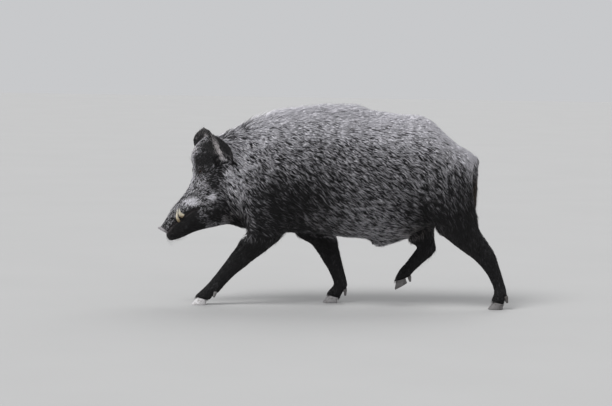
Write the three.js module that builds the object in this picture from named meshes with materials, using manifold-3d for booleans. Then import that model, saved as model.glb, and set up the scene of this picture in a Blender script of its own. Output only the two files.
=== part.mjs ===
// Wild boar: an adult male at life size, walking, with its head low and turned a little to its left.
//
// Millimetres, +Z up. The animal heads towards -X and its left side faces -Y. The origin lies on the floor
// under the middle of the bounding box. Every solid reaches to the tips of the coat.
//
// The trunk, neck and head are one loft along the spine, and each leg is a loft along its bones. They are
// joined to one body, which thin cuts then part into the pieces that a person would name. Hooves, dewclaws,
// tusks, eyes, ears and snout disc are solids of their own.

import * as THREE from "three";
import { mergeVertices } from "three/addons/utils/BufferGeometryUtils.js";
import Module from "manifold-3d";

const wasm = await Module();
wasm.setup();

const { degToRad, lerp, smoothstep } = THREE.MathUtils;

// ---------------------------------------------------------------- driving dimensions

const GAP = 0.4; // clearance between neighbouring solids
const ROOM = 1.5 * GAP; // how much a piece is grown to cut its own room out of its neighbour
const SHOULDER_HEIGHT = 917; // floor to the top of the mane
const FAR = 2000; // longer than the animal: the size of the blocks that cut it

const HEAD_TURN = degToRad(13); // towards the animal's left
const TURN_STARTS_X = -320;
const TURN_ENDS_X = -560;

const SPINE_SIDES = 20;
const SPINE_STEPS = 2; // rings for each station of the spine
const LEG_SIDES = 12;
const LEG_STEPS = 1;
const CLAW_SIDES = 8;
const TAIL_SIDES = 8;

// Stations of the spine, from the muzzle to the rump: the crest and keel of the section in the animal's middle
// plane, its half width, the share of the height where it is widest, and how square its upper and lower halves
// are (2 is an ellipse, less is a ridge, more is a box).
const SPINE = [
  { at: "muzzle", crest: [-766, 350], keel: [-728, 283], half: 39, widest: 0.56, above: 2.6, below: 2.4 },
  { at: "lips", crest: [-748, 377], keel: [-705, 287], half: 42, widest: 0.56, above: 2.6, below: 2.3 },
  { at: "nose bridge", crest: [-730, 409], keel: [-666, 300], half: 47, widest: 0.5, above: 2.4, below: 2.2 },
  { at: "tusks", crest: [-709, 441], keel: [-632, 317], half: 56, widest: 0.46, above: 2.2, below: 2.2 },
  { at: "mouth corner", crest: [-685, 471], keel: [-601, 328], half: 61, widest: 0.45, above: 2.0, below: 2.2 },
  { at: "cheek", crest: [-661, 501], keel: [-574, 335], half: 70, widest: 0.44, above: 2.0, below: 2.2 },
  { at: "cheek bone", crest: [-642, 537], keel: [-549, 340], half: 83, widest: 0.46, above: 2.0, below: 2.2 },
  { at: "eye", crest: [-628, 580], keel: [-526, 344], half: 95, widest: 0.5, above: 2.1, below: 2.1 },
  { at: "brow", crest: [-627, 632], keel: [-504, 348], half: 104, widest: 0.48, above: 2.2, below: 2.1 },
  { at: "forehead", crest: [-634, 686], keel: [-480, 348], half: 110, widest: 0.44, above: 2.1, below: 2.1 },
  { at: "poll", crest: [-590, 742], keel: [-450, 343], half: 116, widest: 0.42, above: 1.95, below: 2.1 },
  { at: "nape", crest: [-520, 782], keel: [-420, 336], half: 128, widest: 0.42, above: 1.85, below: 2.1 },
  { at: "neck", crest: [-445, 812], keel: [-390, 329], half: 144, widest: 0.42, above: 1.8, below: 2.1 },
  { at: "shoulder", crest: [-370, 851], keel: [-350, 324], half: 162, widest: 0.42, above: 1.75, below: 2.1 },
  { at: "shoulder blade", crest: [-285, 884], keel: [-285, 320], half: 180, widest: 0.42, above: 1.75, below: 2.1 },
  { at: "withers", crest: [-180, 904], keel: [-185, 318], half: 190, widest: 0.42, above: 1.75, below: 2.2 },
  { at: "chest", crest: [-64, SHOULDER_HEIGHT], keel: [-70, 314], half: 196, widest: 0.42, above: 1.8, below: 2.3 },
  { at: "ribs", crest: [40, 915], keel: [35, 304], half: 200, widest: 0.42, above: 1.85, below: 2.3 },
  { at: "end of mane", crest: [98, 909], keel: [98, 298], half: 201, widest: 0.42, above: 1.9, below: 2.3 },
  { at: "back", crest: [146, 887], keel: [150, 296], half: 200, widest: 0.43, above: 2.0, below: 2.3 },
  { at: "loin", crest: [225, 878], keel: [225, 297], half: 194, widest: 0.45, above: 2.1, below: 2.3 },
  { at: "flank", crest: [308, 868], keel: [310, 303], half: 184, widest: 0.48, above: 2.15, below: 2.2 },
  { at: "hip", crest: [388, 866], keel: [398, 338], half: 178, widest: 0.52, above: 2.15, below: 2.1 },
  { at: "croup", crest: [449, 834], keel: [472, 385], half: 171, widest: 0.52, above: 2.1, below: 2.1 },
  { at: "rump", crest: [524, 762], keel: [548, 420], half: 158, widest: 0.5, above: 2.1, below: 2.1 },
  { at: "buttock", crest: [576, 722], keel: [594, 440], half: 136, widest: 0.48, above: 2.2, below: 2.2 },
  { at: "seat", crest: [608, 694], keel: [618, 470], half: 104, widest: 0.48, above: 2.3, below: 2.2 },
  { at: "under the tail", crest: [625, 664], keel: [628, 515], half: 62, widest: 0.48, above: 2.3, below: 2.2 },
];

// Half depth (fore and aft) and half width (sideways) of the legs, at the same places as their joints below.
const FORE_GIRTH = {
  shoulder: [104, 44],
  arm: [120, 70],
  elbow: [104, 62],
  forearm: [66, 43],
  wrist: [46, 33],
  cannon: [36, 27],
  shin: [32, 25],
  fetlock: [32, 28],
};
const HIND_GIRTH = {
  hip: [112, 44],
  thigh: [136, 70],
  stifle: [106, 63],
  gaskin: [67, 44],
  hock: [46, 33],
  cannon: [32, 23],
  shin: [28, 21],
  fetlock: [29, 26],
};

// The pose: each joint is [x, z] of the middle of the leg, and apart the distance from the animal's middle plane.
// toe is the tip of the hooves, pitch how far the sole is turned toe down, and leaves the height at which the leg
// leaves the trunk at that x, with the slope of that cut.
const LEGS = [
  {
    name: "foreleg_left", side: -1, girth: FORE_GIRTH, upper: "forearm", lower: "cannon",
    joints: {
      shoulder: [-270, 600], arm: [-285, 475], elbow: [-292, 366], forearm: [-342, 287],
      wrist: [-406, 217], cannon: [-460, 158], shin: [-499, 112], fetlock: [-526, 78],
    },
    apart: { shoulder: 116, foot: 78 }, toe: [-628, 0], pitch: 0,
    leaves: { x: -270, z: 312, slope: 0 }, split: "wrist", dewclaw: { out: 21, tip: [-22, -42] },
  },
  {
    name: "foreleg_right", side: 1, girth: FORE_GIRTH, upper: "forearm", lower: "cannon",
    joints: {
      shoulder: [-245, 600], arm: [-180, 475], elbow: [-92, 366], forearm: [-38, 292],
      wrist: [-8, 221], cannon: [18, 162], shin: [34, 119], fetlock: [45, 80],
    },
    apart: { shoulder: 116, foot: 78 }, toe: [-38, 0], pitch: 0,
    leaves: { x: -40, z: 297, slope: -0.05 }, split: "wrist", dewclaw: { out: 21, tip: [-2, -46] },
  },
  {
    name: "hindleg_left", side: -1, girth: HIND_GIRTH, upper: "thigh", lower: "shank",
    joints: {
      hip: [470, 610], thigh: [500, 510], stifle: [548, 402], gaskin: [606, 318],
      hock: [688, 236], cannon: [724, 167], shin: [747, 112], fetlock: [756, 78],
    },
    apart: { hip: 100, foot: 88 }, toe: [700, 0], pitch: 0,
    leaves: { x: 395, z: 326, slope: 0.43 }, split: "hock", dewclaw: { out: 20, tip: [8, -46] },
  },
  {
    name: "hindleg_right", side: 1, girth: HIND_GIRTH, upper: "thigh", lower: "shank",
    joints: {
      hip: [450, 610], thigh: [425, 510], stifle: [392, 400], gaskin: [400, 318],
      hock: [435, 250], cannon: [382, 194], shin: [354, 162], fetlock: [333, 137],
    },
    apart: { hip: 100, foot: 88 }, toe: [289, 60], pitch: degToRad(30),
    leaves: { x: 395, z: 318, slope: 0.43 }, split: "hock", dewclaw: { out: 20, tip: [4, -36] },
  },
];

// pointed: how much narrower the toe is. innerFlat: how far the side towards the other hoof bulges.
const HOOF = {
  length: 67, width: 29, height: 42, apart: 15.5,
  toeSlope: degToRad(50), heelSlope: degToRad(82.6), narrowing: 0.12, pointed: 0.42, innerFlat: 0.72,
};
const CORONET = { height: 33, slope: 0.26 }; // where the horn ends: its height over the sole's middle, and its rise
// Under the fetlock: the middle of the leg at the coronet and at its end inside the hooves, and the girths there.
const PASTERN = { coronet: [5, 33], end: [3, 10], back: 5, middleGirth: [28, 27], endGirth: [35, 30] };
// A dewclaw's radii, the share of its length where the horn starts, and from the fetlock's middle its root and the
// place that its tip is counted from. bend carries its middle off the straight line.
const DEWCLAW = {
  radii: [13, 10.5, 6], horn: 0.45, root: [8, 8], tip: [22, -2], bend: [5, 3], spread: [0.6, 1, 1.15],
};

const SNOUT_DISC = { centre: [-758, 325], across: 42, tall: 30, thick: 12, facing: degToRad(59) };
const NOSTRIL = { apart: 17, up: 2, across: 6.5, tall: 9.5, deep: 9 };
const MOUTH = { front: [-742, 312], corner: [-622, 416], back: [-556, 318] };
const EYE = { at: [-608, 597], radius: 12, sunk: 7 };
const EAR = { wall: [11, 4], curl: [degToRad(80), degToRad(40)], cut: 30 };
const EARS = {
  left: {
    side: -1, base: [-484, 606], tip: [-580, 772], out: [84, 112],
    wide: 106, widest: 0.46, bow: 22, forward: degToRad(34),
  },
  right: {
    side: 1, base: [-518, 618], tip: [-564, 786], out: [80, 104],
    wide: 98, widest: 0.6, bow: -12, forward: degToRad(18),
  },
};
const LOWER_TUSK = { root: [-692, 372], tip: [-706, 425], out: 46, flare: 16, radius: 7, bow: 8 };
const UPPER_TUSK = { root: [-678, 398], tip: [-703, 425], out: 52, flare: 15, radius: 9, bow: 6 };
const TAIL_RADII = [16, 15, 12, 8.5, 7];
const TAIL = { path: [[590, 668], [624, 679], [641, 652], [644, 570], [640, 426]], radii: TAIL_RADII, flat: 0.9 };
const SHEATH = {
  path: [[330, 345], [260, 312], [200, 288], [164, 262]],
  radii: [[52, 40], [40, 38], [34, 30], [14, 14]],
};

const COAT = { color: 0x48464a, roughness: 0.85, metalness: 0 };
const FINISHES = {
  hoof: { color: 0x8e8a86, roughness: 0.55, metalness: 0 },
  dewclaw: { color: 0x77736f, roughness: 0.55, metalness: 0 },
  tusk: { color: 0xd8cba8, roughness: 0.35, metalness: 0 },
  eye: { color: 0x17120f, roughness: 0.08, metalness: 0 },
  snout_disc: { color: 0x7c7677, roughness: 0.5, metalness: 0 },
  foreleg: { color: 0x201f22, roughness: 0.8, metalness: 0 },
  hindleg: { color: 0x201f22, roughness: 0.8, metalness: 0 },
};

// Planes that part the body. Each passes through a crest and a keel point.
const NECK_CUT = { crest: [-392, 880], keel: [-392, 300] };
const HEAD_CUT = { crest: [-545, 790], keel: [-478, 330] };
const THROAT_CUT = { from: [-392, 320], slope: 0.2 };
const TAIL_CUT = { behindX: 632, wide: 60, high: 400, middleZ: 600 };
const MUZZLE_BACK_X = -480; // behind the mouth and in front of the neck

// ---------------------------------------------------------------- solids

function solidOf(geometry) {
  const bare = geometry.clone();
  bare.deleteAttribute("normal");
  bare.deleteAttribute("uv");
  const merged = mergeVertices(bare, 1e-3);
  return new wasm.Manifold(
    new wasm.Mesh({
      numProp: 3,
      vertProperties: new Float32Array(merged.attributes.position.array),
      triVerts: new Uint32Array(merged.index.array),
    }),
  );
}

// The largest of the bodies in a solid: a slanting cut can leave crumbs beside it.
const largest = (solid) => solid.decompose().sort((a, b) => b.volume() - a.volume())[0];

// A block with its middle at the origin, moved by the matrix.
function block(width, depth, height, matrix = new THREE.Matrix4()) {
  return solidOf(new THREE.BoxGeometry(width, depth, height).applyMatrix4(matrix));
}

// A closed solid through rings of points. Each ring turns the same way round, and the first and last are capped.
function loft(rings) {
  const sides = rings[0].length;
  const points = [];
  for (const ring of rings) points.push(...ring);
  const faces = [];
  for (let i = 0; i + 1 < rings.length; i++) {
    for (let j = 0; j < sides; j++) {
      const next = (j + 1) % sides;
      const [a, b] = [i * sides + j, i * sides + next];
      faces.push(a, b, a + sides, b, b + sides, a + sides);
    }
  }
  const cap = (ring, flip) => {
    const middle = points.length;
    const start = ring * sides;
    const sum = new THREE.Vector3();
    rings[ring].forEach((p) => sum.add(p));
    points.push(sum.divideScalar(sides));
    for (let j = 0; j < sides; j++) {
      const next = (j + 1) % sides;
      if (flip) faces.push(middle, start + next, start + j);
      else faces.push(middle, start + j, start + next);
    }
  };
  cap(0, true);
  cap(rings.length - 1, false);
  const geometry = new THREE.BufferGeometry().setFromPoints(points);
  geometry.setIndex(faces);
  let made = solidOf(geometry);
  if (made.volume() < 0) {
    for (let i = 0; i < faces.length; i += 3) [faces[i + 1], faces[i + 2]] = [faces[i + 2], faces[i + 1]];
    geometry.setIndex(faces);
    made = solidOf(geometry);
  }
  return made;
}

// Catmull-Rom through equally spaced values, at share t of the way.
function along(values, t) {
  const place = t * (values.length - 1);
  const i = Math.min(Math.floor(place), values.length - 2);
  const f = place - i;
  const [a, b, c, d] = [-1, 0, 1, 2].map((k) => values[Math.min(Math.max(i + k, 0), values.length - 1)]);
  return b + 0.5 * f * (c - a + f * (2 * a - 5 * b + 4 * c - d + f * (3 * (b - c) + d - a)));
}

const signedPower = (value, power) => Math.sign(value) * Math.abs(value) ** power;

// An upright plane across the animal, through a point low down and one above it. Its normal points forwards.
function planeThrough(keel, crest) {
  const rise = new THREE.Vector2(crest[0] - keel[0], crest[1] - keel[1]).normalize();
  const normal = [-rise.y, 0, rise.x];
  return { normal, offset: normal[0] * keel[0] + normal[2] * keel[1] };
}

// The part of a solid in front of a plane or behind it, ending short of the plane by a clearance.
const inFrontOfBy = (solid, plane, clear) => solid.trimByPlane(plane.normal, plane.offset + clear);
const behindBy = (solid, plane, clear) => solid.trimByPlane(plane.normal.map((n) => -n), -plane.offset + clear);
const inFrontOf = (solid, plane) => inFrontOfBy(solid, plane, GAP / 2);
const behind = (solid, plane) => behindBy(solid, plane, GAP / 2);

// ---------------------------------------------------------------- the bend of the neck

// How far the section at x is turned, and how far the middle plane is carried aside there.
const turnAt = (x) => HEAD_TURN * smoothstep(-x, -TURN_STARTS_X, -TURN_ENDS_X);

function carriedAside(x) {
  const STEPS = 12;
  const reach = Math.max(0, TURN_STARTS_X - x);
  let sum = 0;
  for (let i = 0; i < STEPS; i++) sum += Math.tan(turnAt(TURN_STARTS_X - (reach * (i + 0.5)) / STEPS));
  return (-sum * reach) / STEPS;
}

// A point given by x and z in the unbent middle plane and its distance to the animal's right.
function bent(x, z, out) {
  const turn = turnAt(x);
  return new THREE.Vector3(x - out * Math.sin(turn), carriedAside(x) + out * Math.cos(turn), z);
}

// ---------------------------------------------------------------- spine

function spineRing(t) {
  const value = (pick) => along(SPINE.map(pick), t);
  const crest = [value((s) => s.crest[0]), value((s) => s.crest[1])];
  const keel = [value((s) => s.keel[0]), value((s) => s.keel[1])];
  const [half, widest, above, below] = ["half", "widest", "above", "below"].map((key) => value((s) => s[key]));
  const ring = [];
  for (let j = 0; j < SPINE_SIDES; j++) {
    const angle = (2 * Math.PI * j) / SPINE_SIDES;
    const [up, out] = [Math.sin(angle), Math.cos(angle)];
    const power = 2 / (up > 0 ? above : below);
    const share = widest + signedPower(up, power) * (up > 0 ? 1 - widest : widest);
    ring.push(bent(lerp(keel[0], crest[0], share), lerp(keel[1], crest[1], share), half * signedPower(out, power)));
  }
  return ring;
}

function spine() {
  const count = (SPINE.length - 1) * SPINE_STEPS;
  return loft(Array.from({ length: count + 1 }, (_, i) => spineRing(i / count)));
}

// ---------------------------------------------------------------- round limbs

// A loft of ovals along a path in an upright plane. depth lies in that plane and width across it.
function limb(path, apart, girths, sides, steps) {
  const at = (list, t) => along(list, t);
  const count = (path.length - 1) * steps;
  const point = (t) => new THREE.Vector3(
    at(path.map((p) => p[0]), t), at(apart, t), at(path.map((p) => p[1]), t));
  const rings = [];
  for (let i = 0; i <= count; i++) {
    const t = i / count;
    const middle = point(t);
    const along3 = point(Math.min(t + 0.5 / count, 1)).sub(point(Math.max(t - 0.5 / count, 0)));
    const fore = new THREE.Vector3(along3.z, 0, -along3.x).normalize();
    const [depth, width] = [at(girths.map((g) => g[0]), t), at(girths.map((g) => g[1]), t)];
    const ring = [];
    for (let j = 0; j < sides; j++) {
      const angle = (2 * Math.PI * j) / sides;
      ring.push(middle.clone()
        .addScaledVector(fore, depth * Math.cos(angle))
        .add(new THREE.Vector3(0, width * Math.sin(angle), 0)));
    }
    rings.push(ring);
  }
  return loft(rings);
}

// ---------------------------------------------------------------- feet

// The frame of a foot: X from toe to heel along the sole, Z away from the sole, the origin in the sole's middle.
function footFrame(leg) {
  const turn = new THREE.Matrix4().makeRotationY(-leg.pitch);
  const middle = new THREE.Vector3(HOOF.length / 2, 0, 0).applyMatrix4(turn);
  const place = new THREE.Matrix4().makeTranslation(
    leg.toe[0] + middle.x, leg.side * leg.apart.foot, leg.toe[1] + middle.z);
  return place.multiply(turn);
}

// One hoof in the foot's frame: a drop-shaped sole, pointed at the toe, flat on the side of its neighbour.
function hoofHorn(outward) {
  const LEVELS = 2;
  const SIDES = 12;
  const toeBack = 1 / Math.tan(HOOF.toeSlope);
  const heelBack = 1 / Math.tan(HOOF.heelSlope);
  const rings = [];
  for (let i = 0; i <= LEVELS; i++) {
    const height = (HOOF.height * i) / LEVELS;
    const front = -HOOF.length / 2 + height * toeBack;
    const back = HOOF.length / 2 + height * heelBack;
    const narrow = 1 - HOOF.narrowing * (i / LEVELS);
    rings.push(Array.from({ length: SIDES }, (_, j) => {
      const angle = (2 * Math.PI * j) / SIDES;
      const towardsToe = Math.max(0, -Math.cos(angle));
      const taper = 1 - HOOF.pointed * towardsToe ** 2;
      const flat = Math.sin(angle) * outward < 0 ? HOOF.innerFlat : 1;
      const y = HOOF.apart * outward + (HOOF.width / 2) * Math.sin(angle) * taper * narrow * flat;
      return new THREE.Vector3(lerp(front, back, (1 - Math.cos(angle + Math.PI)) / 2), y, height);
    }));
  }
  return loft(rings);
}

// The plane where horn meets flesh, in the foot's frame: higher at the toe.
function coronetPlane(frame) {
  const normal = new THREE.Vector3(CORONET.slope, 0, 1).normalize();
  const point = new THREE.Vector3(0, 0, CORONET.height).applyMatrix4(frame);
  normal.transformDirection(frame);
  return { normal: normal.toArray(), offset: normal.dot(point) };
}

const moved = (solid, matrix) => solid.transform(matrix.elements);

// The hooves and dewclaws of a foot, the flesh that carries the dewclaws, and the room that they need.
function foot(leg) {
  const frame = footFrame(leg);
  const plane = coronetPlane(frame);
  const [x, z] = leg.joints.fetlock;
  const y = leg.side * leg.apart.foot;
  const root = [x + DEWCLAW.root[0], z + DEWCLAW.root[1]];
  const tip = [x + DEWCLAW.tip[0] + leg.dewclaw.tip[0], z + DEWCLAW.tip[1] + leg.dewclaw.tip[1]];
  const middle = [lerp(root[0], tip[0], 0.5) + DEWCLAW.bend[0], lerp(root[1], tip[1], 0.5) + DEWCLAW.bend[1]];
  const along = new THREE.Vector2(root[0] - tip[0], root[1] - tip[1]).normalize();
  const [atRoot, atTip] = [root, tip].map(([px, pz]) => along.x * px + along.y * pz);
  const hornPlane = { normal: [along.x, 0, along.y], offset: lerp(atRoot, atTip, DEWCLAW.horn) };
  const made = { horn: {}, flesh: [], rooms: [] };
  for (const [where, outward] of [["inner", -leg.side], ["outer", leg.side]]) {
    const out = outward * leg.dewclaw.out;
    const claw = (grown) => limb([root, middle, tip], DEWCLAW.spread.map((share) => y + out * share),
      DEWCLAW.radii.map((r) => [r + grown, r + grown]), CLAW_SIDES, 1);
    made.horn[`${leg.name}_hoof_${where}`] = behind(moved(hoofHorn(outward), frame), plane);
    made.horn[`${leg.name}_dewclaw_${where}`] = behind(claw(0), hornPlane);
    made.flesh.push(inFrontOf(claw(0), hornPlane));
    made.rooms.push(behindBy(claw(ROOM), hornPlane, -GAP / 2));
  }
  return made;
}

// ---------------------------------------------------------------- legs

// A leg from the hip or shoulder down to the coronet, where its horn begins.
function legFlesh(leg) {
  const frame = footFrame(leg);
  const names = Object.keys(leg.joints);
  const top = leg.apart.shoulder ?? leg.apart.hip;
  const path = names.map((n) => leg.joints[n]);
  const inFoot = ([x, z]) => new THREE.Vector3(x, 0, z).applyMatrix4(frame);
  const [coronet, end] = [inFoot(PASTERN.coronet), inFoot(PASTERN.end)];
  const [x, z] = leg.joints.fetlock;
  path.push([(x + coronet.x) / 2 + PASTERN.back, (z + coronet.z) / 2], [end.x, end.z]);
  const apart = path.map((_, i) => leg.side * lerp(top, leg.apart.foot, smoothstep(i, 1, names.length - 2)));
  const girths = [...names.map((n) => leg.girth[n]), PASTERN.middleGirth, PASTERN.endGirth];
  return inFrontOf(limb(path, apart, girths, LEG_SIDES, LEG_STEPS), coronetPlane(frame));
}

// A block that holds a leg below the height where it leaves the trunk.
function legBlock(leg, grown) {
  const angle = Math.atan(leg.leaves.slope);
  const turn = new THREE.Matrix4().makeRotationY(-angle);
  const place = new THREE.Matrix4().makeTranslation(leg.leaves.x, leg.side * (FAR / 2 + 4), leg.leaves.z);
  const down = new THREE.Matrix4().makeTranslation(0, 0, -FAR / 2 + grown);
  return block(FAR * 2, FAR + 2 * grown, FAR, place.multiply(turn).multiply(down));
}

// ---------------------------------------------------------------- head

const discFacing = new THREE.Vector3(-Math.cos(SNOUT_DISC.facing), 0, -Math.sin(SNOUT_DISC.facing));

// The frame of the snout disc: Z out of the disc's face, X towards the forehead, Y to the animal's right.
function discFrame() {
  const [x, z] = SNOUT_DISC.centre;
  const out = discFacing.clone();
  const up = new THREE.Vector3(out.z, 0, -out.x);
  const basis = new THREE.Matrix4().makeBasis(up, new THREE.Vector3().crossVectors(out, up), out);
  const turn = new THREE.Matrix4().makeRotationZ(HEAD_TURN);
  const place = new THREE.Matrix4().makeTranslation(...bent(x, z, 0).toArray());
  return place.multiply(turn).multiply(basis);
}

function snoutDisc(grown = 0) {
  const SIDES = 20;
  const { across, tall, thick } = SNOUT_DISC;
  // Level and share of the full size of each ring: the rim is widest just behind the face.
  const levels = [[-thick - grown, 0.86], [-thick * 0.55, 0.97], [-thick * 0.15, 1], [grown, 0.93]];
  const rings = levels.map(([level, size]) => Array.from({ length: SIDES }, (_, j) => {
    const angle = (2 * Math.PI * j) / SIDES;
    const broad = 1 - 0.1 * Math.max(0, -Math.cos(angle));
    const [high, wide] = [tall * size + grown, across * size * broad + grown];
    return new THREE.Vector3(high * Math.cos(angle), wide * Math.sin(angle), level);
  }));
  let disc = loft(rings);
  if (grown > 0) return moved(disc, discFrame());
  for (const side of [-1, 1]) {
    const hole = new THREE.CylinderGeometry(1, 0.7, NOSTRIL.deep * 2, 8);
    hole.rotateX(Math.PI / 2);
    hole.scale(NOSTRIL.tall, NOSTRIL.across, 1);
    hole.translate(NOSTRIL.up, side * NOSTRIL.apart, 0);
    disc = disc.subtract(solidOf(hole));
  }
  return moved(disc, discFrame());
}

// How far the flesh reaches sideways from the middle plane at x and z.
function reachAt(solid, x, z, side) {
  const probe = new THREE.BoxGeometry(1, FAR, 1).translate(0, (side * FAR) / 2, 0);
  const turn = turnAt(x);
  const place = new THREE.Matrix4().makeTranslation(...bent(x, z, 0).toArray());
  const core = solid.intersect(solidOf(probe.applyMatrix4(place.multiply(new THREE.Matrix4().makeRotationZ(turn)))));
  const { min, max } = core.boundingBox();
  return Math.hypot(max[0] - min[0], max[1] - min[1]);
}

// The middle of an eye: sunk below the side of the body.
const eyePlace = (solid, side) => bent(...EYE.at, side * (reachAt(solid, ...EYE.at, side) - EYE.sunk));

const eyeball = (place, radius) => solidOf(new THREE.SphereGeometry(radius, 12, 8).translate(...place.toArray()));

// The foot, the tip and the axis of an ear.
function earAxis({ side, base, tip, out }) {
  const foot = bent(...base, side * out[0]);
  const axis = bent(...tip, side * out[1]).sub(foot);
  return { foot, length: axis.length(), axis: axis.normalize() };
}

// An ear is a leaf rolled to a cup: rings of a crescent from its foot to its tip, on an axis bowed backwards.
function ear(shape, grown = 0) {
  const RINGS = 9;
  const ARC = 6;
  const { foot, length, axis } = earAxis(shape);
  const outward = new THREE.Vector3(-shape.side * Math.sin(HEAD_TURN), shape.side * Math.cos(HEAD_TURN), 0);
  const forward = new THREE.Vector3(-Math.cos(HEAD_TURN), -Math.sin(HEAD_TURN), 0);
  const mouth = outward.multiplyScalar(Math.cos(shape.forward)).addScaledVector(forward, Math.sin(shape.forward));
  mouth.addScaledVector(axis, -mouth.dot(axis)).normalize();
  const across = new THREE.Vector3().crossVectors(axis, mouth);
  const backward = across.clone().multiplyScalar(Math.sign(across.x));
  const rings = [];
  for (let i = 0; i < RINGS; i++) {
    const t = i / (RINGS - 1);
    const peak = Math.min(t / shape.widest, (1 - t) / (1 - shape.widest));
    const wide = shape.wide * lerp(t < shape.widest ? 0.62 : 0.07, 1, Math.sin((Math.PI / 2) * peak) ** 0.85);
    const wall = lerp(...EAR.wall, t) + grown;
    const curl = lerp(...EAR.curl, t);
    const radius = wide / 2 / Math.sin(curl);
    const span = curl + (1.5 * grown) / radius;
    const middle = foot.clone().addScaledVector(axis, length * t).addScaledVector(mouth, radius);
    middle.addScaledVector(backward, shape.bow * Math.sin(Math.PI * t));
    const outer = [];
    const inner = [];
    for (let j = 0; j < ARC; j++) {
      const angle = lerp(-span, span, j / (ARC - 1));
      const spoke = across.clone().multiplyScalar(Math.sin(angle)).addScaledVector(mouth, -Math.cos(angle));
      const edge = 1 - 0.55 * Math.abs(angle / span) ** 3;
      outer.push(middle.clone().addScaledVector(spoke, radius + grown));
      inner.unshift(middle.clone().addScaledVector(spoke, radius - Math.min(wall * edge, radius * 0.7)));
    }
    rings.push([...outer, ...inner]);
  }
  return loft(rings);
}

// The plane across the foot of an ear that parts it from the head.
function earPlane(shape) {
  const { foot, axis } = earAxis(shape);
  const from = foot.addScaledVector(axis, EAR.cut);
  return { normal: axis.toArray(), offset: axis.dot(from) };
}

// A tusk is a horn on an arc, from its root in the jaw to its tip.
function tusk(shape, side) {
  const RINGS = 6;
  const SIDES = 7;
  const root = new THREE.Vector3(...shape.root, 0);
  const reach = new THREE.Vector3(...shape.tip, 0).sub(root);
  const bowed = new THREE.Vector3(-reach.y, reach.x, 0).normalize();
  const rings = [];
  for (let i = 0; i < RINGS; i++) {
    const t = i / (RINGS - 1);
    const bow = shape.bow * Math.sin(Math.PI * t);
    const middle = root.clone().addScaledVector(reach, t).addScaledVector(bowed, bow);
    const radius = Math.max(shape.radius * (1 - t ** 1.7), 0.7);
    const out = shape.out + shape.flare * t ** 1.4;
    rings.push(Array.from({ length: SIDES }, (_, j) => {
      const angle = (2 * Math.PI * j) / SIDES;
      const across = radius * Math.cos(angle);
      return bent(middle.x + bowed.x * across, middle.y + bowed.y * across, side * (out + radius * Math.sin(angle)));
    }));
  }
  return loft(rings);
}

// ---------------------------------------------------------------- the animal

const pieces = {};

const shiftBy = (way) => new THREE.Matrix4().makeTranslation(...way);

// The block round a solid, a little larger than it.
function grownBox(solid) {
  const { min, max } = solid.boundingBox();
  const size = max.map((v, i) => v - min[i] + 4);
  const middle = max.map((v, i) => (v + min[i]) / 2);
  return block(...size, shiftBy(middle));
}

// The flesh in one body. The horn of each foot goes to the pieces.
function wholeBody() {
  let body = spine();
  body = body.add(limb(SHEATH.path, SHEATH.path.map(() => 0), SHEATH.radii, LEG_SIDES, 2));
  const tailGirths = TAIL.radii.map((r) => [r, r * TAIL.flat]);
  body = body.add(limb(TAIL.path, TAIL.path.map(() => 0), tailGirths, TAIL_SIDES, 3));
  for (const leg of LEGS) {
    const { horn, flesh, rooms } = foot(leg);
    Object.assign(pieces, horn);
    const whole = flesh.reduce((a, b) => a.add(b), legFlesh(leg));
    body = body.add(rooms.reduce((a, b) => a.subtract(b), whole));
  }
  return body;
}

const neckPlane = planeThrough(NECK_CUT.keel, NECK_CUT.crest);
const headPlane = planeThrough(HEAD_CUT.keel, HEAD_CUT.crest);

// All that lies in front of the shoulder and above the throat line.
function frontBlock(grown) {
  const [x, z] = THROAT_CUT.from;
  const lean = new THREE.Matrix4().makeRotationY(-Math.atan(THROAT_CUT.slope));
  const up = shiftBy([0, 0, FAR / 2 - grown]);
  const above = block(FAR * 2, FAR, FAR, shiftBy([x, 0, z]).multiply(lean).multiply(up));
  return above.trimByPlane(neckPlane.normal, neckPlane.offset - grown);
}

// Head and neck, with the stumps of the ears shared between them.
function makeFront(front) {
  pieces.neck = behind(front, headPlane);
  pieces.head = inFrontOf(front, headPlane);
  for (const [name, shape] of Object.entries(EARS)) {
    const leaf = ear(shape);
    const cut = earPlane(shape);
    pieces[`ear_${name}`] = largest(inFrontOf(leaf, cut));
    const room = inFrontOfBy(ear(shape, ROOM), cut, -GAP / 2);
    const stump = behind(leaf, cut);
    pieces.head = pieces.head.add(inFrontOf(stump, headPlane)).subtract(room);
    pieces.neck = pieces.neck.add(behind(stump, headPlane)).subtract(room);
  }
}

// Legs below the trunk, each in an upper and a lower length, and what is left of the trunk.
function makeLegs(rest) {
  let trunk = rest;
  for (const leg of LEGS) {
    const whole = largest(rest.intersect(legBlock(leg, 0)));
    trunk = trunk.subtract(legBlock(leg, GAP).intersect(grownBox(whole)));
    const names = Object.keys(leg.joints);
    const [a, b] = [leg.joints[leg.split], leg.joints[names[names.indexOf(leg.split) + 1]]];
    const normal = new THREE.Vector3(a[0] - b[0], 0, a[1] - b[1]).normalize().toArray();
    const cut = { normal, offset: normal[0] * a[0] + normal[2] * a[1] };
    pieces[`${leg.name}_${leg.upper}`] = inFrontOf(whole, cut);
    pieces[`${leg.name}_${leg.lower}`] = behind(whole, cut);
  }
  return trunk;
}

// The tail is what stands behind the rump near the middle plane.
function makeTail(trunk) {
  const { behindX, wide, high, middleZ } = TAIL_CUT;
  const tailBlock = (grown) =>
    block(FAR, wide + 2 * grown, high, shiftBy([behindX + FAR / 2 - grown, 0, middleZ]));
  pieces.tail = trunk.intersect(tailBlock(0));
  pieces.trunk = largest(trunk.subtract(tailBlock(GAP)));
}

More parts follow.
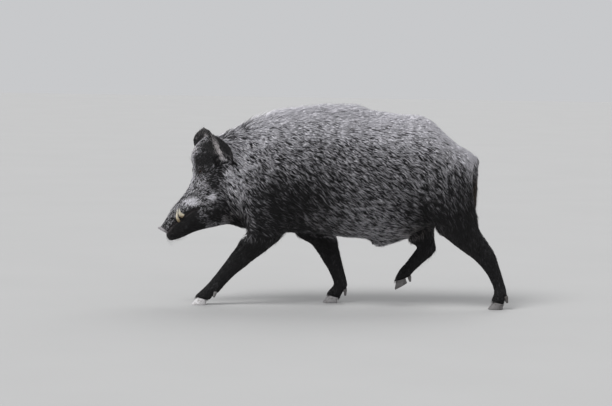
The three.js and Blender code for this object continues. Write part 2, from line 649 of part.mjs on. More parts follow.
// The snout disc stands in front of the muzzle, and the lower jaw lies under the line of the mouth.
function makeMuzzle() {
  const normal = discFacing.clone().transformDirection(new THREE.Matrix4().makeRotationZ(HEAD_TURN));
  const back = new THREE.Vector3(0, 0, -SNOUT_DISC.thick).applyMatrix4(discFrame());
  const discPlane = { normal: normal.toArray(), offset: normal.dot(back) };
  pieces.snout_disc = inFrontOf(snoutDisc(), discPlane);
  const mouthPlane = planeThrough(MOUTH.front, MOUTH.corner);
  const jawPlane = planeThrough(MOUTH.back, MOUTH.corner);
  const muzzle = block(FAR, FAR, FAR, shiftBy([MUZZLE_BACK_X - FAR / 2, 0, 0]));
  const jawRoom = inFrontOfBy(behindBy(muzzle, mouthPlane, -GAP / 2), jawPlane, -GAP / 2);
  const jaw = behind(inFrontOf(pieces.head, jawPlane), mouthPlane);
  pieces.lower_jaw = largest(jaw.subtract(snoutDisc(ROOM)));
  pieces.head = behind(pieces.head.subtract(jawRoom), discPlane);
}

// Tusks and eyes on both sides, each in a socket of its own.
function makeTusksAndEyes(body) {
  for (const [name, side] of [["left", -1], ["right", 1]]) {
    for (const [which, shape] of [["lower", LOWER_TUSK], ["upper", UPPER_TUSK]]) {
      pieces[`tusk_${which}_${name}`] = tusk(shape, side);
      const socket = tusk({ ...shape, radius: shape.radius + ROOM }, side);
      pieces.head = pieces.head.subtract(socket);
      pieces.lower_jaw = pieces.lower_jaw.subtract(socket);
    }
    const place = eyePlace(body, side);
    pieces[`eye_${name}`] = eyeball(place, EYE.radius);
    pieces.head = pieces.head.subtract(eyeball(place, EYE.radius + GAP));
  }
}

const body = wholeBody();
makeFront(body.intersect(frontBlock(0)));
makeTail(makeLegs(body.subtract(frontBlock(GAP))));
makeMuzzle();
makeTusksAndEyes(body);

// ---------------------------------------------------------------- the scene graph

function geometryOf(solid) {
  const { vertProperties, triVerts } = solid.getMesh();
  const geometry = new THREE.BufferGeometry();
  geometry.setAttribute("position", new THREE.BufferAttribute(new Float32Array(vertProperties), 3));
  geometry.setIndex(new THREE.BufferAttribute(new Uint32Array(triVerts), 1));
  return geometry;
}

const group = new THREE.Group();
for (const [name, solid] of Object.entries(pieces)) {
  const geometry = geometryOf(largest(solidOf(geometryOf(solid))));
  const finish = Object.entries(FINISHES).find(([word]) => name.includes(word))?.[1] ?? COAT;
  const mesh = new THREE.Mesh(geometry, new THREE.MeshStandardMaterial(finish));
  mesh.name = name;
  group.add(mesh);
}

// The origin goes under the middle of the bounding box.
const middle = new THREE.Box3().setFromObject(group).getCenter(new THREE.Vector3());
for (const mesh of group.children) mesh.geometry.translate(-middle.x, -middle.y, 0);

export default group;
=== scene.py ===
"""Wild boar: one skin under a coat of solid tufts, with eyes, tusks, hooves and a plain stage.

Lengths are in metres, apart from the tables that say millimetres. +Z is up, the animal heads towards -X and
its left side faces -Y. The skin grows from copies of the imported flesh, sunk by the depth of the coat, so the
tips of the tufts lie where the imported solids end.
"""

import itertools
import math

import bpy
import numpy as np
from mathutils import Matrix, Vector
from mathutils.bvhtree import BVHTree


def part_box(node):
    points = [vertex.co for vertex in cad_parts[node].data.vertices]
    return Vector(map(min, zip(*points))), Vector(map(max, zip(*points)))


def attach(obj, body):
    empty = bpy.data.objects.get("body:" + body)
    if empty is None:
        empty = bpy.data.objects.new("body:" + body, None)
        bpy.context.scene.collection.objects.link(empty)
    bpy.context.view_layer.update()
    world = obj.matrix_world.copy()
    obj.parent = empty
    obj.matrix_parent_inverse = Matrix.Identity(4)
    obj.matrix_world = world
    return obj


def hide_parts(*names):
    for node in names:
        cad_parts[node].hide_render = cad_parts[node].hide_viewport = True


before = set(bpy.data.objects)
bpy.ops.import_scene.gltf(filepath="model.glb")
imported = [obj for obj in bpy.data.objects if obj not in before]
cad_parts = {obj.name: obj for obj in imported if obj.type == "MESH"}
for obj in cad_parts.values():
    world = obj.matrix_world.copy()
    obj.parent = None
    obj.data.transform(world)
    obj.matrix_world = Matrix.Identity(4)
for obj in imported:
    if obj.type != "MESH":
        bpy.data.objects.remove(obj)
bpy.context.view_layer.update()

bl_info = {
    "name": "Wild Boar",
    "version": (1, 0, 0),
    "blender": (4, 5, 0),
    "location": "3D View > Sidebar > Boar",
    "description": "Dresses the packed solids of a wild boar with skin, coat, horn, eyes and a stage",
    "category": "Object",
}

MM = 0.001
LEGS = ("foreleg_left", "foreleg_right", "hindleg_left", "hindleg_right")
LEG_FLESH = tuple(
    f"{leg}_{half}"
    for leg in LEGS
    for half in (("forearm", "cannon") if leg.startswith("fore") else ("thigh", "shank"))
)
FLESH = ("trunk", "neck", "head", "lower_jaw", "tail", "ear_left", "ear_right", "snout_disc", *LEG_FLESH)
ZONE = {name: number for number, name in enumerate(FLESH)}


def within(zone, *names):
    """True where a zone is one of these."""
    return np.isin(zone, [ZONE[name] for name in names])


# ------------------------------------------------------------------ the bend of the neck

HEAD_TURN = math.radians(13)  # towards the animal's left
TURN_STARTS_X, TURN_ENDS_X = -0.320, -0.560
# The solids were modelled with the left fore hoof's toe at this x, and packed with their middle at x = 0.
TOE_X = -0.628
SHIFT_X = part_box("foreleg_left_hoof_outer")[0].x - TOE_X


def eased(value, low, high):
    """0 below low, 1 above high, and a smooth rise between them. low may be the larger."""
    t = np.clip((value - low) / (high - low), 0.0, 1.0)
    return t * t * (3 - 2 * t)


def lerp(a, b, t):
    return a + (b - a) * t


def turn_at(x):
    return HEAD_TURN * eased(x, TURN_STARTS_X, TURN_ENDS_X)


def carried_aside(x):
    """Where the animal's middle plane lies at x."""
    steps = 12
    reach = np.maximum(0, TURN_STARTS_X - x)
    total = sum(np.tan(turn_at(TURN_STARTS_X - reach * (i + 0.5) / steps)) for i in range(steps))
    return -total * reach / steps


def unbent(points):
    """Places as they would be with the neck held straight: x, the distance to the right, and z."""
    x = points[:, 0] - SHIFT_X
    for _ in range(6):
        turn = turn_at(x)
        out = (points[:, 1] - carried_aside(x)) / np.cos(turn)
        x = points[:, 0] - SHIFT_X + out * np.sin(turn)
    return x, out, points[:, 2]


# ------------------------------------------------------------------ mesh arrays


def unit(vectors):
    return vectors / np.maximum(np.linalg.norm(vectors, axis=-1, keepdims=True), 1e-12)


def dot(a, b):
    return (a * b).sum(-1, keepdims=True)


def read(items, name, width, kind=np.float64):
    values = np.empty(len(items) * width, kind)
    items.foreach_get(name, values)
    return values.reshape(-1, width) if width > 1 else values


def read_attribute(mesh, name, width=3):
    return read(mesh.attributes[name].data, "vector" if width == 3 else "value", width, np.float32)


def write_attribute(mesh, name, values):
    kind, field = ("FLOAT_VECTOR", "vector") if values.ndim == 2 else ("FLOAT", "value")
    if values.dtype.kind == "i":
        kind = "INT"
    layer = mesh.attributes.new(name, kind, "POINT")
    layer.data.foreach_set(field, values.astype(np.int32 if kind == "INT" else np.float32).ravel())


def place_points(mesh, points):
    mesh.vertices.foreach_set("co", points.astype(np.float32).ravel())
    mesh.update()


def mesh_from(name, points, faces):
    """A mesh whose faces all have the same number of corners."""
    mesh = bpy.data.meshes.new(name)
    mesh.vertices.add(len(points))
    mesh.vertices.foreach_set("co", points.astype(np.float32).ravel())
    mesh.loops.add(faces.size)
    mesh.loops.foreach_set("vertex_index", faces.astype(np.int32).ravel())
    mesh.polygons.add(len(faces))
    mesh.polygons.foreach_set("loop_start", np.arange(0, faces.size, faces.shape[1], dtype=np.int32))
    mesh.update(calc_edges=True)
    return mesh


def triangles_of(mesh):
    mesh.calc_loop_triangles()
    return read(mesh.loop_triangles, "vertices", 3, np.int32)


def normals_of(points, triangles):
    a, b, c = (points[triangles[:, i]] for i in range(3))
    face = np.cross(b - a, c - a)
    total = np.zeros_like(points)
    for corner in range(3):
        for axis in range(3):
            total[:, axis] += np.bincount(triangles[:, corner], face[:, axis], len(points))
    return unit(total)


def welded(name):
    """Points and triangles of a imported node, its loose triangles joined."""
    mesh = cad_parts[name].data
    points = read(mesh.vertices, "co", 3)
    keys = np.round(points / (0.01 * MM)).astype(np.int64)
    _, first, place = np.unique(keys, axis=0, return_index=True, return_inverse=True)
    triangles = place.ravel()[triangles_of(mesh)]
    return points[first], triangles[(triangles != np.roll(triangles, 1, axis=1)).all(1)]


def joined(parts):
    points = np.concatenate([p for p, _ in parts])
    starts = np.cumsum([0] + [len(p) for p, _ in parts[:-1]])
    return points, np.concatenate([t + start for (_, t), start in zip(parts, starts)])


def swollen(points, triangles, amount):
    return points + normals_of(points, triangles) * amount, triangles


def link(obj):
    bpy.context.scene.collection.objects.link(obj)
    return obj


def finish(mesh, material, slot, *nodes):
    """Make a mesh a piece of the object, standing for these nodes."""
    mesh.materials.clear()
    mesh.materials.append(material)
    piece = link(bpy.data.objects.new(mesh.name, mesh))
    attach(piece, "root")
    if nodes:
        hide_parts(*nodes)


def modified(mesh, kind, vertex_group=None, **settings):
    """A new mesh: this one with one modifier applied."""
    obj = link(bpy.data.objects.new(mesh.name, mesh))
    modifier = obj.modifiers.new(kind, kind)
    if vertex_group is not None:
        group = obj.vertex_groups.new(name="weight")
        steps = np.round(vertex_group * 20).astype(int)
        for step in np.unique(steps):
            group.add(np.flatnonzero(steps == step).tolist(), step / 20, "REPLACE")
        modifier.vertex_group = group.name
    for name, value in settings.items():
        setattr(modifier, name, value)
    graph = bpy.context.evaluated_depsgraph_get()
    result = obj.evaluated_get(graph)
    made = bpy.data.meshes.new_from_object(result, preserve_all_data_layers=True, depsgraph=graph)
    name = mesh.name
    bpy.data.objects.remove(obj)
    bpy.data.meshes.remove(mesh)
    made.name = name
    return made


class Net:
    """A surface as arrays: points, triangles and the edges that its smoothing runs along."""

    def __init__(self, mesh, grain=None):
        self.points = read(mesh.vertices, "co", 3)
        self.grain = grain
        self.triangles = triangles_of(mesh)
        self.ends = read(mesh.edges, "vertices", 2, np.int32).T
        self.degree = np.maximum(sum(np.bincount(end, minlength=len(self.points)) for end in self.ends), 1)

    def normals(self):
        return normals_of(self.points, self.triangles)

    def around(self, values):
        """The mean of each point's neighbours."""
        a, b = self.ends
        count = len(self.points)
        flat = values.reshape(count, -1)
        total = [np.bincount(a, v[b], count) + np.bincount(b, v[a], count) for v in flat.T]
        return (np.stack(total, 1) / self.degree[:, None]).reshape(values.shape)

    def spread(self, values, reach, strength=0.9):
        """Values blurred over a reach in metres."""
        for _ in range(max(1, round(2 * (reach / self.grain) ** 2 / 0.9))):
            values = values + strength * (self.around(values) - values)
        return values


def largest_shell(mesh):
    """The mesh without the loose crumbs and inner shells beside its largest shell."""
    net = Net(mesh)
    label = np.arange(len(net.points))
    while True:
        a, b = net.ends
        lowest = np.minimum(label[a], label[b])
        new = label.copy()
        np.minimum.at(new, a, lowest)
        np.minimum.at(new, b, lowest)
        new = new[new]
        if (new == label).all():
            break
        label = new
    keep = label == np.bincount(label).argmax()
    faces = read(mesh.loops, "vertex_index", 1, np.int32).reshape(-1, 4)
    faces = faces[keep[faces[:, 0]]]
    place = np.cumsum(keep) - 1
    name = mesh.name
    bpy.data.meshes.remove(mesh)
    return mesh_from(name, net.points[keep], place[faces])


# ------------------------------------------------------------------ shader maths


class Sock:
    """A shader output that Python's arithmetic turns into Math nodes."""

    def __init__(self, shader, socket):
        self.shader, self.socket = shader, socket

    def math(self, operation, *values):
        return self.shader.node("ShaderNodeMath", {"operation": operation}, dict(enumerate(values)))

    def __add__(self, other):
        return self.math("ADD", self, other)

    def __sub__(self, other):
        return self.math("SUBTRACT", self, other)

    def __rsub__(self, other):
        return self.math("SUBTRACT", other, self)

    def __mul__(self, other):
        return self.math("MULTIPLY", self, other)

    def __truediv__(self, other):
        return self.math("DIVIDE", self, other)

    def __pow__(self, other):
        return self.math("POWER", self, other)

    __radd__ = __add__
    __rmul__ = __mul__

    def rise(self, low, high):
        """0 below low, 1 above high, smooth between."""
        return self.shader.node(
            "ShaderNodeMapRange", {"interpolation_type": "SMOOTHSTEP"}, {0: self, 1: low, 2: high}
        )

    def clamped(self):
        return self.shader.node("ShaderNodeClamp", {}, {0: self})


class Shader:
    """A material's node tree, ending in one Principled BSDF."""

    def __init__(self, name, **constants):
        self.material = bpy.data.materials.new(name)
        self.material.use_nodes = True
        self.tree = self.material.node_tree
        self.surface = self.tree.nodes["Principled BSDF"]
        for socket, value in constants.items():
            self.surface.inputs[socket.replace("_", " ")].default_value = value

    def node(self, kind, settings, sockets, out=0):
        made = self.tree.nodes.new(kind)
        for name, value in settings.items():
            setattr(made, name, value)
        for key, value in sockets.items():
            if isinstance(value, Sock):
                self.tree.links.new(value.socket, made.inputs[key])
            else:
                made.inputs[key].default_value = value
        return Sock(self, made.outputs[out])

    def place(self):
        """Object coordinates, in metres."""
        return self.node("ShaderNodeTexCoord", {}, {}, "Object")

    def vector(self, x=0.0, y=0.0, z=0.0):
        return self.node("ShaderNodeCombineXYZ", {}, {0: x, 1: y, 2: z})

    def parts(self, vector):
        node = self.node("ShaderNodeSeparateXYZ", {}, {0: vector}).socket.node
        return [Sock(self, output) for output in node.outputs]

    def attribute(self, name, out="Fac"):
        return self.node("ShaderNodeAttribute", {"attribute_name": name}, {}, out)

    def attributes(self, name):
        """The three values of a vector attribute."""
        return self.parts(self.attribute(name, "Vector"))

    def noise(self, vector, scale, detail=2.0, rough=0.5):
        values = {"Vector": vector, "Scale": scale, "Detail": detail, "Roughness": rough}
        return self.node("ShaderNodeTexNoise", {}, values)

    def stretched(self, vector, factors):
        return self.node("ShaderNodeVectorMath", {"operation": "MULTIPLY"}, {0: vector, 1: factors})

    def mix(self, factor, a, b):
        return self.node("ShaderNodeMix", {"data_type": "RGBA"}, {0: factor, 6: a, 7: b}, 2)

    def bump(self, height, strength, distance):
        return self.node("ShaderNodeBump", {}, {"Height": height, "Strength": strength, "Distance": distance})

    def feed(self, **sockets):
        for socket, value in sockets.items():
            self.tree.links.new(value.socket, self.surface.inputs[socket.replace("_", " ")])
        return self.material


def rgba(colour, share=1.0):
    return (*(share * value for value in colour[:3]), 1.0)


# ------------------------------------------------------------------ markings


def topline(x, z, on_body):
    """How high a place lies between the belly and the back above it: 0 to 1."""
    edges = np.linspace(-0.60, 0.66, 64)
    cell = np.clip(np.digitize(x, edges), 0, len(edges))
    low, high = np.full(len(edges) + 1, 9.0), np.full(len(edges) + 1, -9.0)
    np.minimum.at(low, cell[on_body], z[on_body])
    np.maximum.at(high, cell[on_body], z[on_body])
    seen = np.flatnonzero(high > low)
    middles = np.concatenate([[edges[0]], (edges[1:] + edges[:-1]) / 2, [edges[-1]]])
    floor = np.interp(x, middles[seen], low[seen])
    roof = np.interp(x, middles[seen], high[seen])
    return np.clip((z - floor) / np.maximum(roof - floor, 0.05), 0, 1)


def patch(x, z, middle, size, angle=0.0):
    """1 in the middle of an oval patch on the side view, fading to 0. Sizes in mm."""
    dx, dz = x / MM - middle[0], z / MM - middle[1]
    c, s = math.cos(math.radians(angle)), math.sin(math.radians(angle))
    return np.exp(-(((dx * c + dz * s) / size[0]) ** 2) - ((dz * c - dx * s) / size[1]) ** 2)


# Patches of the head: middle (x, z) and half sizes in mm, angle of the long axis, and the frost that they
# turn to. Those below DARK_MARK spare the middle of the forehead and the nose.
DARK_MARK = 0.5
FACE_MARKS = (
    ((-690, 415), (46, 46), 62, 0.55),  # side of the muzzle
    ((-655, 440), (34, 40), 62, 0.66),  # behind the lip fold
    ((-641, 552), (46, 9), 78, 0.80),  # edge of the nose bridge
    ((-608, 545), (30, 22), 60, 0.74),  # under the eye
    ((-606, 640), (34, 24), -20, 0.04),  # over the eye: dark hair, darkened further as painted shade under the brow
    ((-563, 650), (30, 34), 20, 0.05),  # front of the ear base: dark hair, with painted shade between the ear and the eye
    ((-588, 706), (22, 40), 0, 0.04),  # between the forehead and the ear: painted shade in the gap beside the ear, over dark hair
    ((-566, 560), (22, 42), 0, 0.24),  # side of the cheek
    ((-622, 598), (24, 20), 0, 0.16),  # round the eye
    ((-641, 690), (34, 14), 78, 1.15),  # forehead
    ((-603, 418), (24, 20), 40, 0.46),  # corner of the mouth
    ((-549, 414), (46, 26), 62, 0.03),  # back of the jaw: dark jowl hair, with painted shade under the jaw
    ((-470, 510), (62, 34), -60, 0.74),  # side of the neck behind the cheek
    ((-462, 396), (52, 26), -10, 0.46),  # throat
    ((-657, 412), (26, 9), 35, 0.02),  # inside of the lip behind the tusks: painted shade in the open mouth
    ((-648, 456), (24, 9), 8, 1.9),  # upper lip
    ((-568, 489), (15, 7), 46, 2.4),  # cheek
    ((-489, 577), (30, 11), -66, 2.4),  # tuft under the ear
)
BODY_MARKS = (
    ((450, 410), (120, 80), 0, 0.10),  # thigh
    ((396, 428), (46, 62), 0, 0.08),  # groin
    ((-105, 378), (44, 30), -30, 0.60),  # behind the elbow
)
# Brown patches, each with the share of brown in its middle.
BROWN_MARKS = (
    ((385, 345), (90, 40), 20, 0.8),  # fold of the flank
    ((-462, 392), (60, 34), -10, 0.7),  # throat
    ((-105, 378), (44, 30), -30, 0.5),  # behind the elbow
    ((-641, 690), (34, 13), 78, 0.6),  # forehead
)
EAR_MARKS = (
    ((-524, 668), (88, 9), -65, 1.5),  # front fringe of the left ear
    ((-600, 745), (40, 26), 60, 0.3),  # back of the right ear: painted highlight of the sky on its convex back, over its grey hair
)
PATCH_FULL = 1.3  # how much a mark is strengthened, so that its middle is flat
# Frost between the belly and the back: heights from 0 to 1, and the frost there.
BODY_FROST = ((0, 0.12, 0.3, 0.5, 0.68, 0.85, 1), (0.66, 0.62, 0.54, 0.52, 0.66, 1.05, 1.5))
NECK_FROST = ((0, 0.2, 0.45, 0.7, 1), (0.12, 0.38, 0.72, 0.90, 0.80))
OTHER_FROST = {"head": 0.56, "tail": 0.55, "ear_left": 0.12, "ear_right": 0.12, "snout_disc": 0.5}
LEG_FROST = 0.04  # legs and lower jaw


def painted(frost, x, z, marks, where=1.0, where_dark=1.0):
    """Frost with these marks laid over it."""
    for middle, size, angle, value in marks:
        weight = patch(x, z, middle, size, angle) * where
        if value < DARK_MARK:
            weight = weight * where_dark
        frost = lerp(frost, value, np.clip(PATCH_FULL * weight, 0, 1))
    return frost


def marks_of(x, out, z, share, zone):
    """Frost (0 black to 1 grey-white), brown, and bare hide, at each point."""
    body = np.interp(share, *BODY_FROST)
    # The lower shoulder is darkened: dark coat of the shoulder, with painted shade under the chest and belly
    # along its bottom.
    shoulder = eased(x, 0.06, -0.14) * eased(x, -0.45, -0.33) * eased(share, 0.62, 0.30)
    body = lerp(body, 0.16, shoulder)
    rear = eased(x, 0.44, 0.58) * eased(z, 0.70, 0.48)
    body = lerp(body, 0.16, rear)
    body = painted(body, x, z, BODY_MARKS)
    neck = eased(x, -0.34, -0.42)
    body = lerp(body, np.interp(share, *NECK_FROST), neck)
    frost = np.array([OTHER_FROST.get(name, LEG_FROST) for name in FLESH])[zone]
    frost = np.where(within(zone, "trunk", "neck"), body, frost)
    frost = painted(frost, x, z, FACE_MARKS, within(zone, "head", "neck"), eased(np.abs(out), 0.012, 0.055))
    jaw = eased(z / MM - np.interp(x / MM, *np.transpose(MOUTH_LINE)), 3, -5)
    frost = lerp(frost, 0.02, jaw * within(zone, "head") * (x < MOUTH_LINE[-1][0] * MM))
    brown = np.where(within(zone, "tail"), eased(z, 0.64, 0.56), 0.0)
    for middle, size, angle, value in BROWN_MARKS:
        brown = np.maximum(brown, value * patch(x, z, middle, size, angle))
    ear = within(zone, "ear_left", "ear_right")
    brown = np.where(ear, 0.45, brown)
    frost = painted(frost, x, z, EAR_MARKS, ear)
    return np.stack([frost, brown, within(zone, "snout_disc").astype(float)], 1)


# Dents and swellings of the flesh: middle (x, z) and half sizes in mm, angle of the long axis, height in mm.
RELIEF = (
    ((-622, 598), (32, 28), 0, 6.0),  # flesh round the eye
    ((-618, 634), (34, 12), -12, 4.0),  # brow
    ((-578, 556), (42, 17), -25, 5.0),  # cheek bone
    ((-556, 630), (26, 30), 0, -5.0),  # temple
    ((-642, 500), (48, 15), 62, -4.0),  # side of the nose bridge
    ((-700, 424), (30, 15), 40, 6.0),  # lip over the tusks
    ((-625, 440), (34, 16), 40, -3.0),  # fold behind the lip
    ((-545, 425), (46, 46), 0, 5.0),  # jowl
    ((-668, 345), (40, 14), 50, 3.0),  # lower lip
    ((-230, 600), (70, 150), 12, 9.0),  # shoulder blade
    ((-120, 400), (40, 70), 10, -9.0),  # behind the elbow
    ((330, 500), (50, 90), -15, -10.0),  # flank in front of the thigh
    ((470, 500), (80, 110), 0, 8.0),  # thigh
)
MOUTH_LINE = ((-758, 308), (-732, 346), (-714, 364), (-683, 388), (-643, 420), (-622, 428))
MOUTH_DEEP, MOUTH_WIDE = 8.0, 5.0
NOSTRIL, NOSTRIL_DEEP = (11, 2, 5, 7), 8  # to the side, up the disc, half width and half height, in mm
WRINKLES = (20, 30, 41)  # distance behind the face of the snout disc, in mm
WRINKLE_DEEP, WRINKLE_WIDE = 1.8, 2.6
SNOUT_FACE, SNOUT_FACING = (-758, 325), math.radians(59)  # middle of the snout disc, and the slope there
EYE_SPOT = (-622, 598)  # (x, z) of the eye


def line_distance(x, z, line):
    """Distance in mm from a line of points in the side view."""
    here = np.stack([x, z], 1) / MM
    best = np.full(len(x), 1e9)
    for a, b in zip(line, line[1:]):
        a, b = np.array(a, float), np.array(b, float)
        t = np.clip(((here - a) @ (b - a)) / ((b - a) @ (b - a)), 0, 1)
        best = np.minimum(best, np.linalg.norm(here - a - t[:, None] * (b - a), axis=1))
    return best


def from_snout(x, z):
    """How far a place lies up the face of the snout disc and in front of it, in mm."""
    dx, dz = x / MM - SNOUT_FACE[0], z / MM - SNOUT_FACE[1]
    c, s = math.cos(SNOUT_FACING), math.sin(SNOUT_FACING)
    return -dx * s + dz * c, -dx * c - dz * s


def nostrils_at(x, out, z, zone):
    """1 in the middle of each nostril on the snout disc, fading to 0."""
    up_disc, in_front = from_snout(x, z)
    aside, up, wide, high = NOSTRIL
    hole = ((np.abs(out / MM) - aside) / wide) ** 2 + ((up_disc - up) / high) ** 2
    return within(zone, "snout_disc") * (in_front > -8) * np.exp(-hole)


def lips_at(x, out, z, zone):
    """1 on the bare edge of the lips, 0 elsewhere."""
    edge = eased(line_distance(x, z, MOUTH_LINE), 8.0, 4.5) * eased(np.abs(out), 0.008, 0.02)
    return within(zone, "head", "lower_jaw") * edge


def relief_of(x, out, z, normals, zone):
    """How far the flesh is pushed out at each point."""
    turn = turn_at(x)
    sideways = np.abs(normals[:, 1] * np.cos(turn) - normals[:, 0] * np.sin(turn))
    side = eased(sideways, 0.15, 0.6)
    push = sum(height * patch(x, z, middle, size, angle) for middle, size, angle, height in RELIEF)
    groove = np.exp(-((line_distance(x, z, MOUTH_LINE) / MOUTH_WIDE) ** 2))
    push = push * side - within(zone, "head", "lower_jaw") * MOUTH_DEEP * groove * side
    _, in_front = from_snout(x, z)
    for place in WRINKLES:
        push -= WRINKLE_DEEP * within(zone, "head") * np.exp(-(((in_front + place) / WRINKLE_WIDE) ** 2))
    push -= NOSTRIL_DEEP * nostrils_at(x, out, z, zone)
    return push * MM


# ------------------------------------------------------------------ settings


class BOAR_PG_skin(bpy.types.PropertyGroup):
    voxel: bpy.props.FloatProperty(
        name="Grain", description="Side of the cells that the skin is remade from",
        default=0.003, unit="LENGTH")
    triangles: bpy.props.IntProperty(
        name="Triangles", description="Most triangles in the skin", default=190000)
    colour: bpy.props.FloatVectorProperty(
        name="Skin", description="Colour of the skin under the coat",
        default=(0.018, 0.016, 0.016), subtype="COLOR")
    lips: bpy.props.FloatVectorProperty(
        name="Lips", description="Colour of the lips and the rims of the lids",
        default=(0.030, 0.024, 0.026), subtype="COLOR")
    snout: bpy.props.FloatVectorProperty(
        name="Snout", description="Colour of the bare snout disc",
        default=(0.36, 0.34, 0.355), subtype="COLOR")


class BOAR_PG_coat(bpy.types.PropertyGroup):
    amount: bpy.props.FloatProperty(
        name="Amount", description="Share of the full number of tufts", default=0.97, min=0.05, max=1.5)
    seed: bpy.props.IntProperty(
        name="Seed", description="Start of the random draws", default=11)
    dark: bpy.props.FloatVectorProperty(
        name="Bristle base", description="Colour at the root of a bristle",
        default=(0.0095, 0.009, 0.010), subtype="COLOR")
    pale: bpy.props.FloatVectorProperty(
        name="Bristle tip", description="Colour of a grizzled tip",
        default=(0.80, 0.785, 0.83), subtype="COLOR")
    brown: bpy.props.FloatVectorProperty(
        name="Brown tip", description="Colour of a tip where the coat is brown",
        default=(0.20, 0.145, 0.10), subtype="COLOR")


class BOAR_PG_bristles(bpy.types.PropertyGroup):
    amount: bpy.props.FloatProperty(
        name="Amount", description="Share of the full number of long hairs", default=1.0, min=0.05, max=1.5)
    seed: bpy.props.IntProperty(
        name="Seed", description="Start of the random draws", default=23)


class BOAR_PG_horn(bpy.types.PropertyGroup):
    hoof: bpy.props.FloatVectorProperty(
        name="Hoof", description="Colour of worn hoof horn", default=(0.86, 0.84, 0.85), subtype="COLOR")
    ivory: bpy.props.FloatVectorProperty(
        name="Tusk", description="Colour of tusk ivory", default=(0.66, 0.58, 0.40), subtype="COLOR")
    iris: bpy.props.FloatVectorProperty(
        name="Eye", description="Colour of the iris", default=(0.028, 0.013, 0.007), subtype="COLOR")


class BOAR_PG_stage(bpy.types.PropertyGroup):
    distance: bpy.props.FloatProperty(
        name="Distance", description="From the camera to the animal", default=10.0, unit="LENGTH")
    width: bpy.props.FloatProperty(
        name="View width", description="Width of the view at the animal", default=2.754, unit="LENGTH")
    elevation: bpy.props.FloatProperty(
        name="Elevation", description="Height of the camera over the horizon",
        default=math.radians(4.5), subtype="ANGLE")
    roll: bpy.props.FloatProperty(
        name="Roll", description="Tilt of the camera", default=math.radians(0.9), subtype="ANGLE")
    aim: bpy.props.FloatVectorProperty(
        name="Aim", description="Point in the middle of the view",
        default=(-0.124, 0.0, 0.457), subtype="XYZ", unit="LENGTH")
    floor: bpy.props.FloatVectorProperty(
        name="Floor", description="Colour of the floor", default=(0.42, 0.419, 0.417), subtype="COLOR")
    key: bpy.props.FloatProperty(
        name="Key light", description="Strength of the light over the camera's left shoulder", default=2.3)
    rim: bpy.props.FloatProperty(
        name="Rim light", description="Strength of the light from behind", default=1.0)
    room: bpy.props.FloatProperty(
        name="Room light", description="Strength of the even light all round", default=0.72)


# ------------------------------------------------------------------ skin

OVERLAP = 0.6 * MM  # how far each solid is swollen before they are joined, to close the gaps between them
EAR_WIDENS, EAR_RISES = 0.28, 0.3  # share by which the right ear's upper half widens, and its shoulders rise
MANE_LONGER, MANE_DEEPER = 34, 18  # how much longer and deeper the coat is along the mane, in mm
DARK_HIDE = (0.0, 0.0, 0.9)  # the mark of lips and nostrils: no frost, no brown, bare

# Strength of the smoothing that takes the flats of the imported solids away, by zone.
SMOOTHING = {
    "trunk": 0.9, "neck": 0.9, "head": 0.09, "lower_jaw": 0.06, "tail": 0.01, "ear_left": 0.02,
    "ear_right": 0.02, "snout_disc": 0.01, "forearm": 0.3, "cannon": 0.09, "thigh": 0.45, "shank": 0.12,
}

# Length, depth, width (mm) and number of tufts on a square decimetre, by zone.
COAT = {
    "trunk": (50, 19, 4.0, 560), "neck": (54, 22, 4.0, 560), "head": (18, 4, 2.5, 1250),
    "lower_jaw": (20, 3.5, 2.6, 1100), "tail": (44, 0.5, 3.4, 1500), "ear_left": (15, 1.0, 2.0, 1300),
    "ear_right": (15, 1.0, 2.0, 1300), "snout_disc": (4, 0.5, 1.2, 0),
    "forearm": (30, 8, 3.6, 620), "cannon": (20, 3, 2.8, 850),
    "thigh": (36, 9, 3.8, 600), "shank": (22, 3.5, 2.8, 800),
}


def by_zone(zone, table):
    """One value of a table for each point, by its zone. Legs are looked up by the name of their half."""
    rows = [table[name] if name in table else table[name.rsplit("_", 1)[1]] for name in FLESH]
    return np.array(rows, float)[zone]


class Solids:
    """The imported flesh, to measure the skin against."""

    def __init__(self):
        parts = [welded(name) for name in FLESH]
        self.owner = np.concatenate([np.full(len(t), ZONE[name]) for name, (_, t) in zip(FLESH, parts)])
        self.tree = BVHTree.FromPolygons(*[a.tolist() for a in joined(parts)])

    def nearest(self, points):
        """The zone of the nearest solid, and the nearest point."""
        found = [self.tree.find_nearest(p) for p in points.tolist()]
        return self.owner[[f[2] for f in found]], np.array([f[0] for f in found])

    def inside(self, points, normals):
        """How deep the points lie under the surface of the solids, along the normals."""
        _, spots = self.nearest(points)
        return dot(spots - points, normals)[:, 0]


def limb_direction(name):
    """From a node's upper end to its lower end."""
    points, _ = welded(name)
    low, high = np.percentile(points[:, 2], [12, 88])
    return unit(points[points[:, 2] <= low].mean(0) - points[points[:, 2] >= high].mean(0))


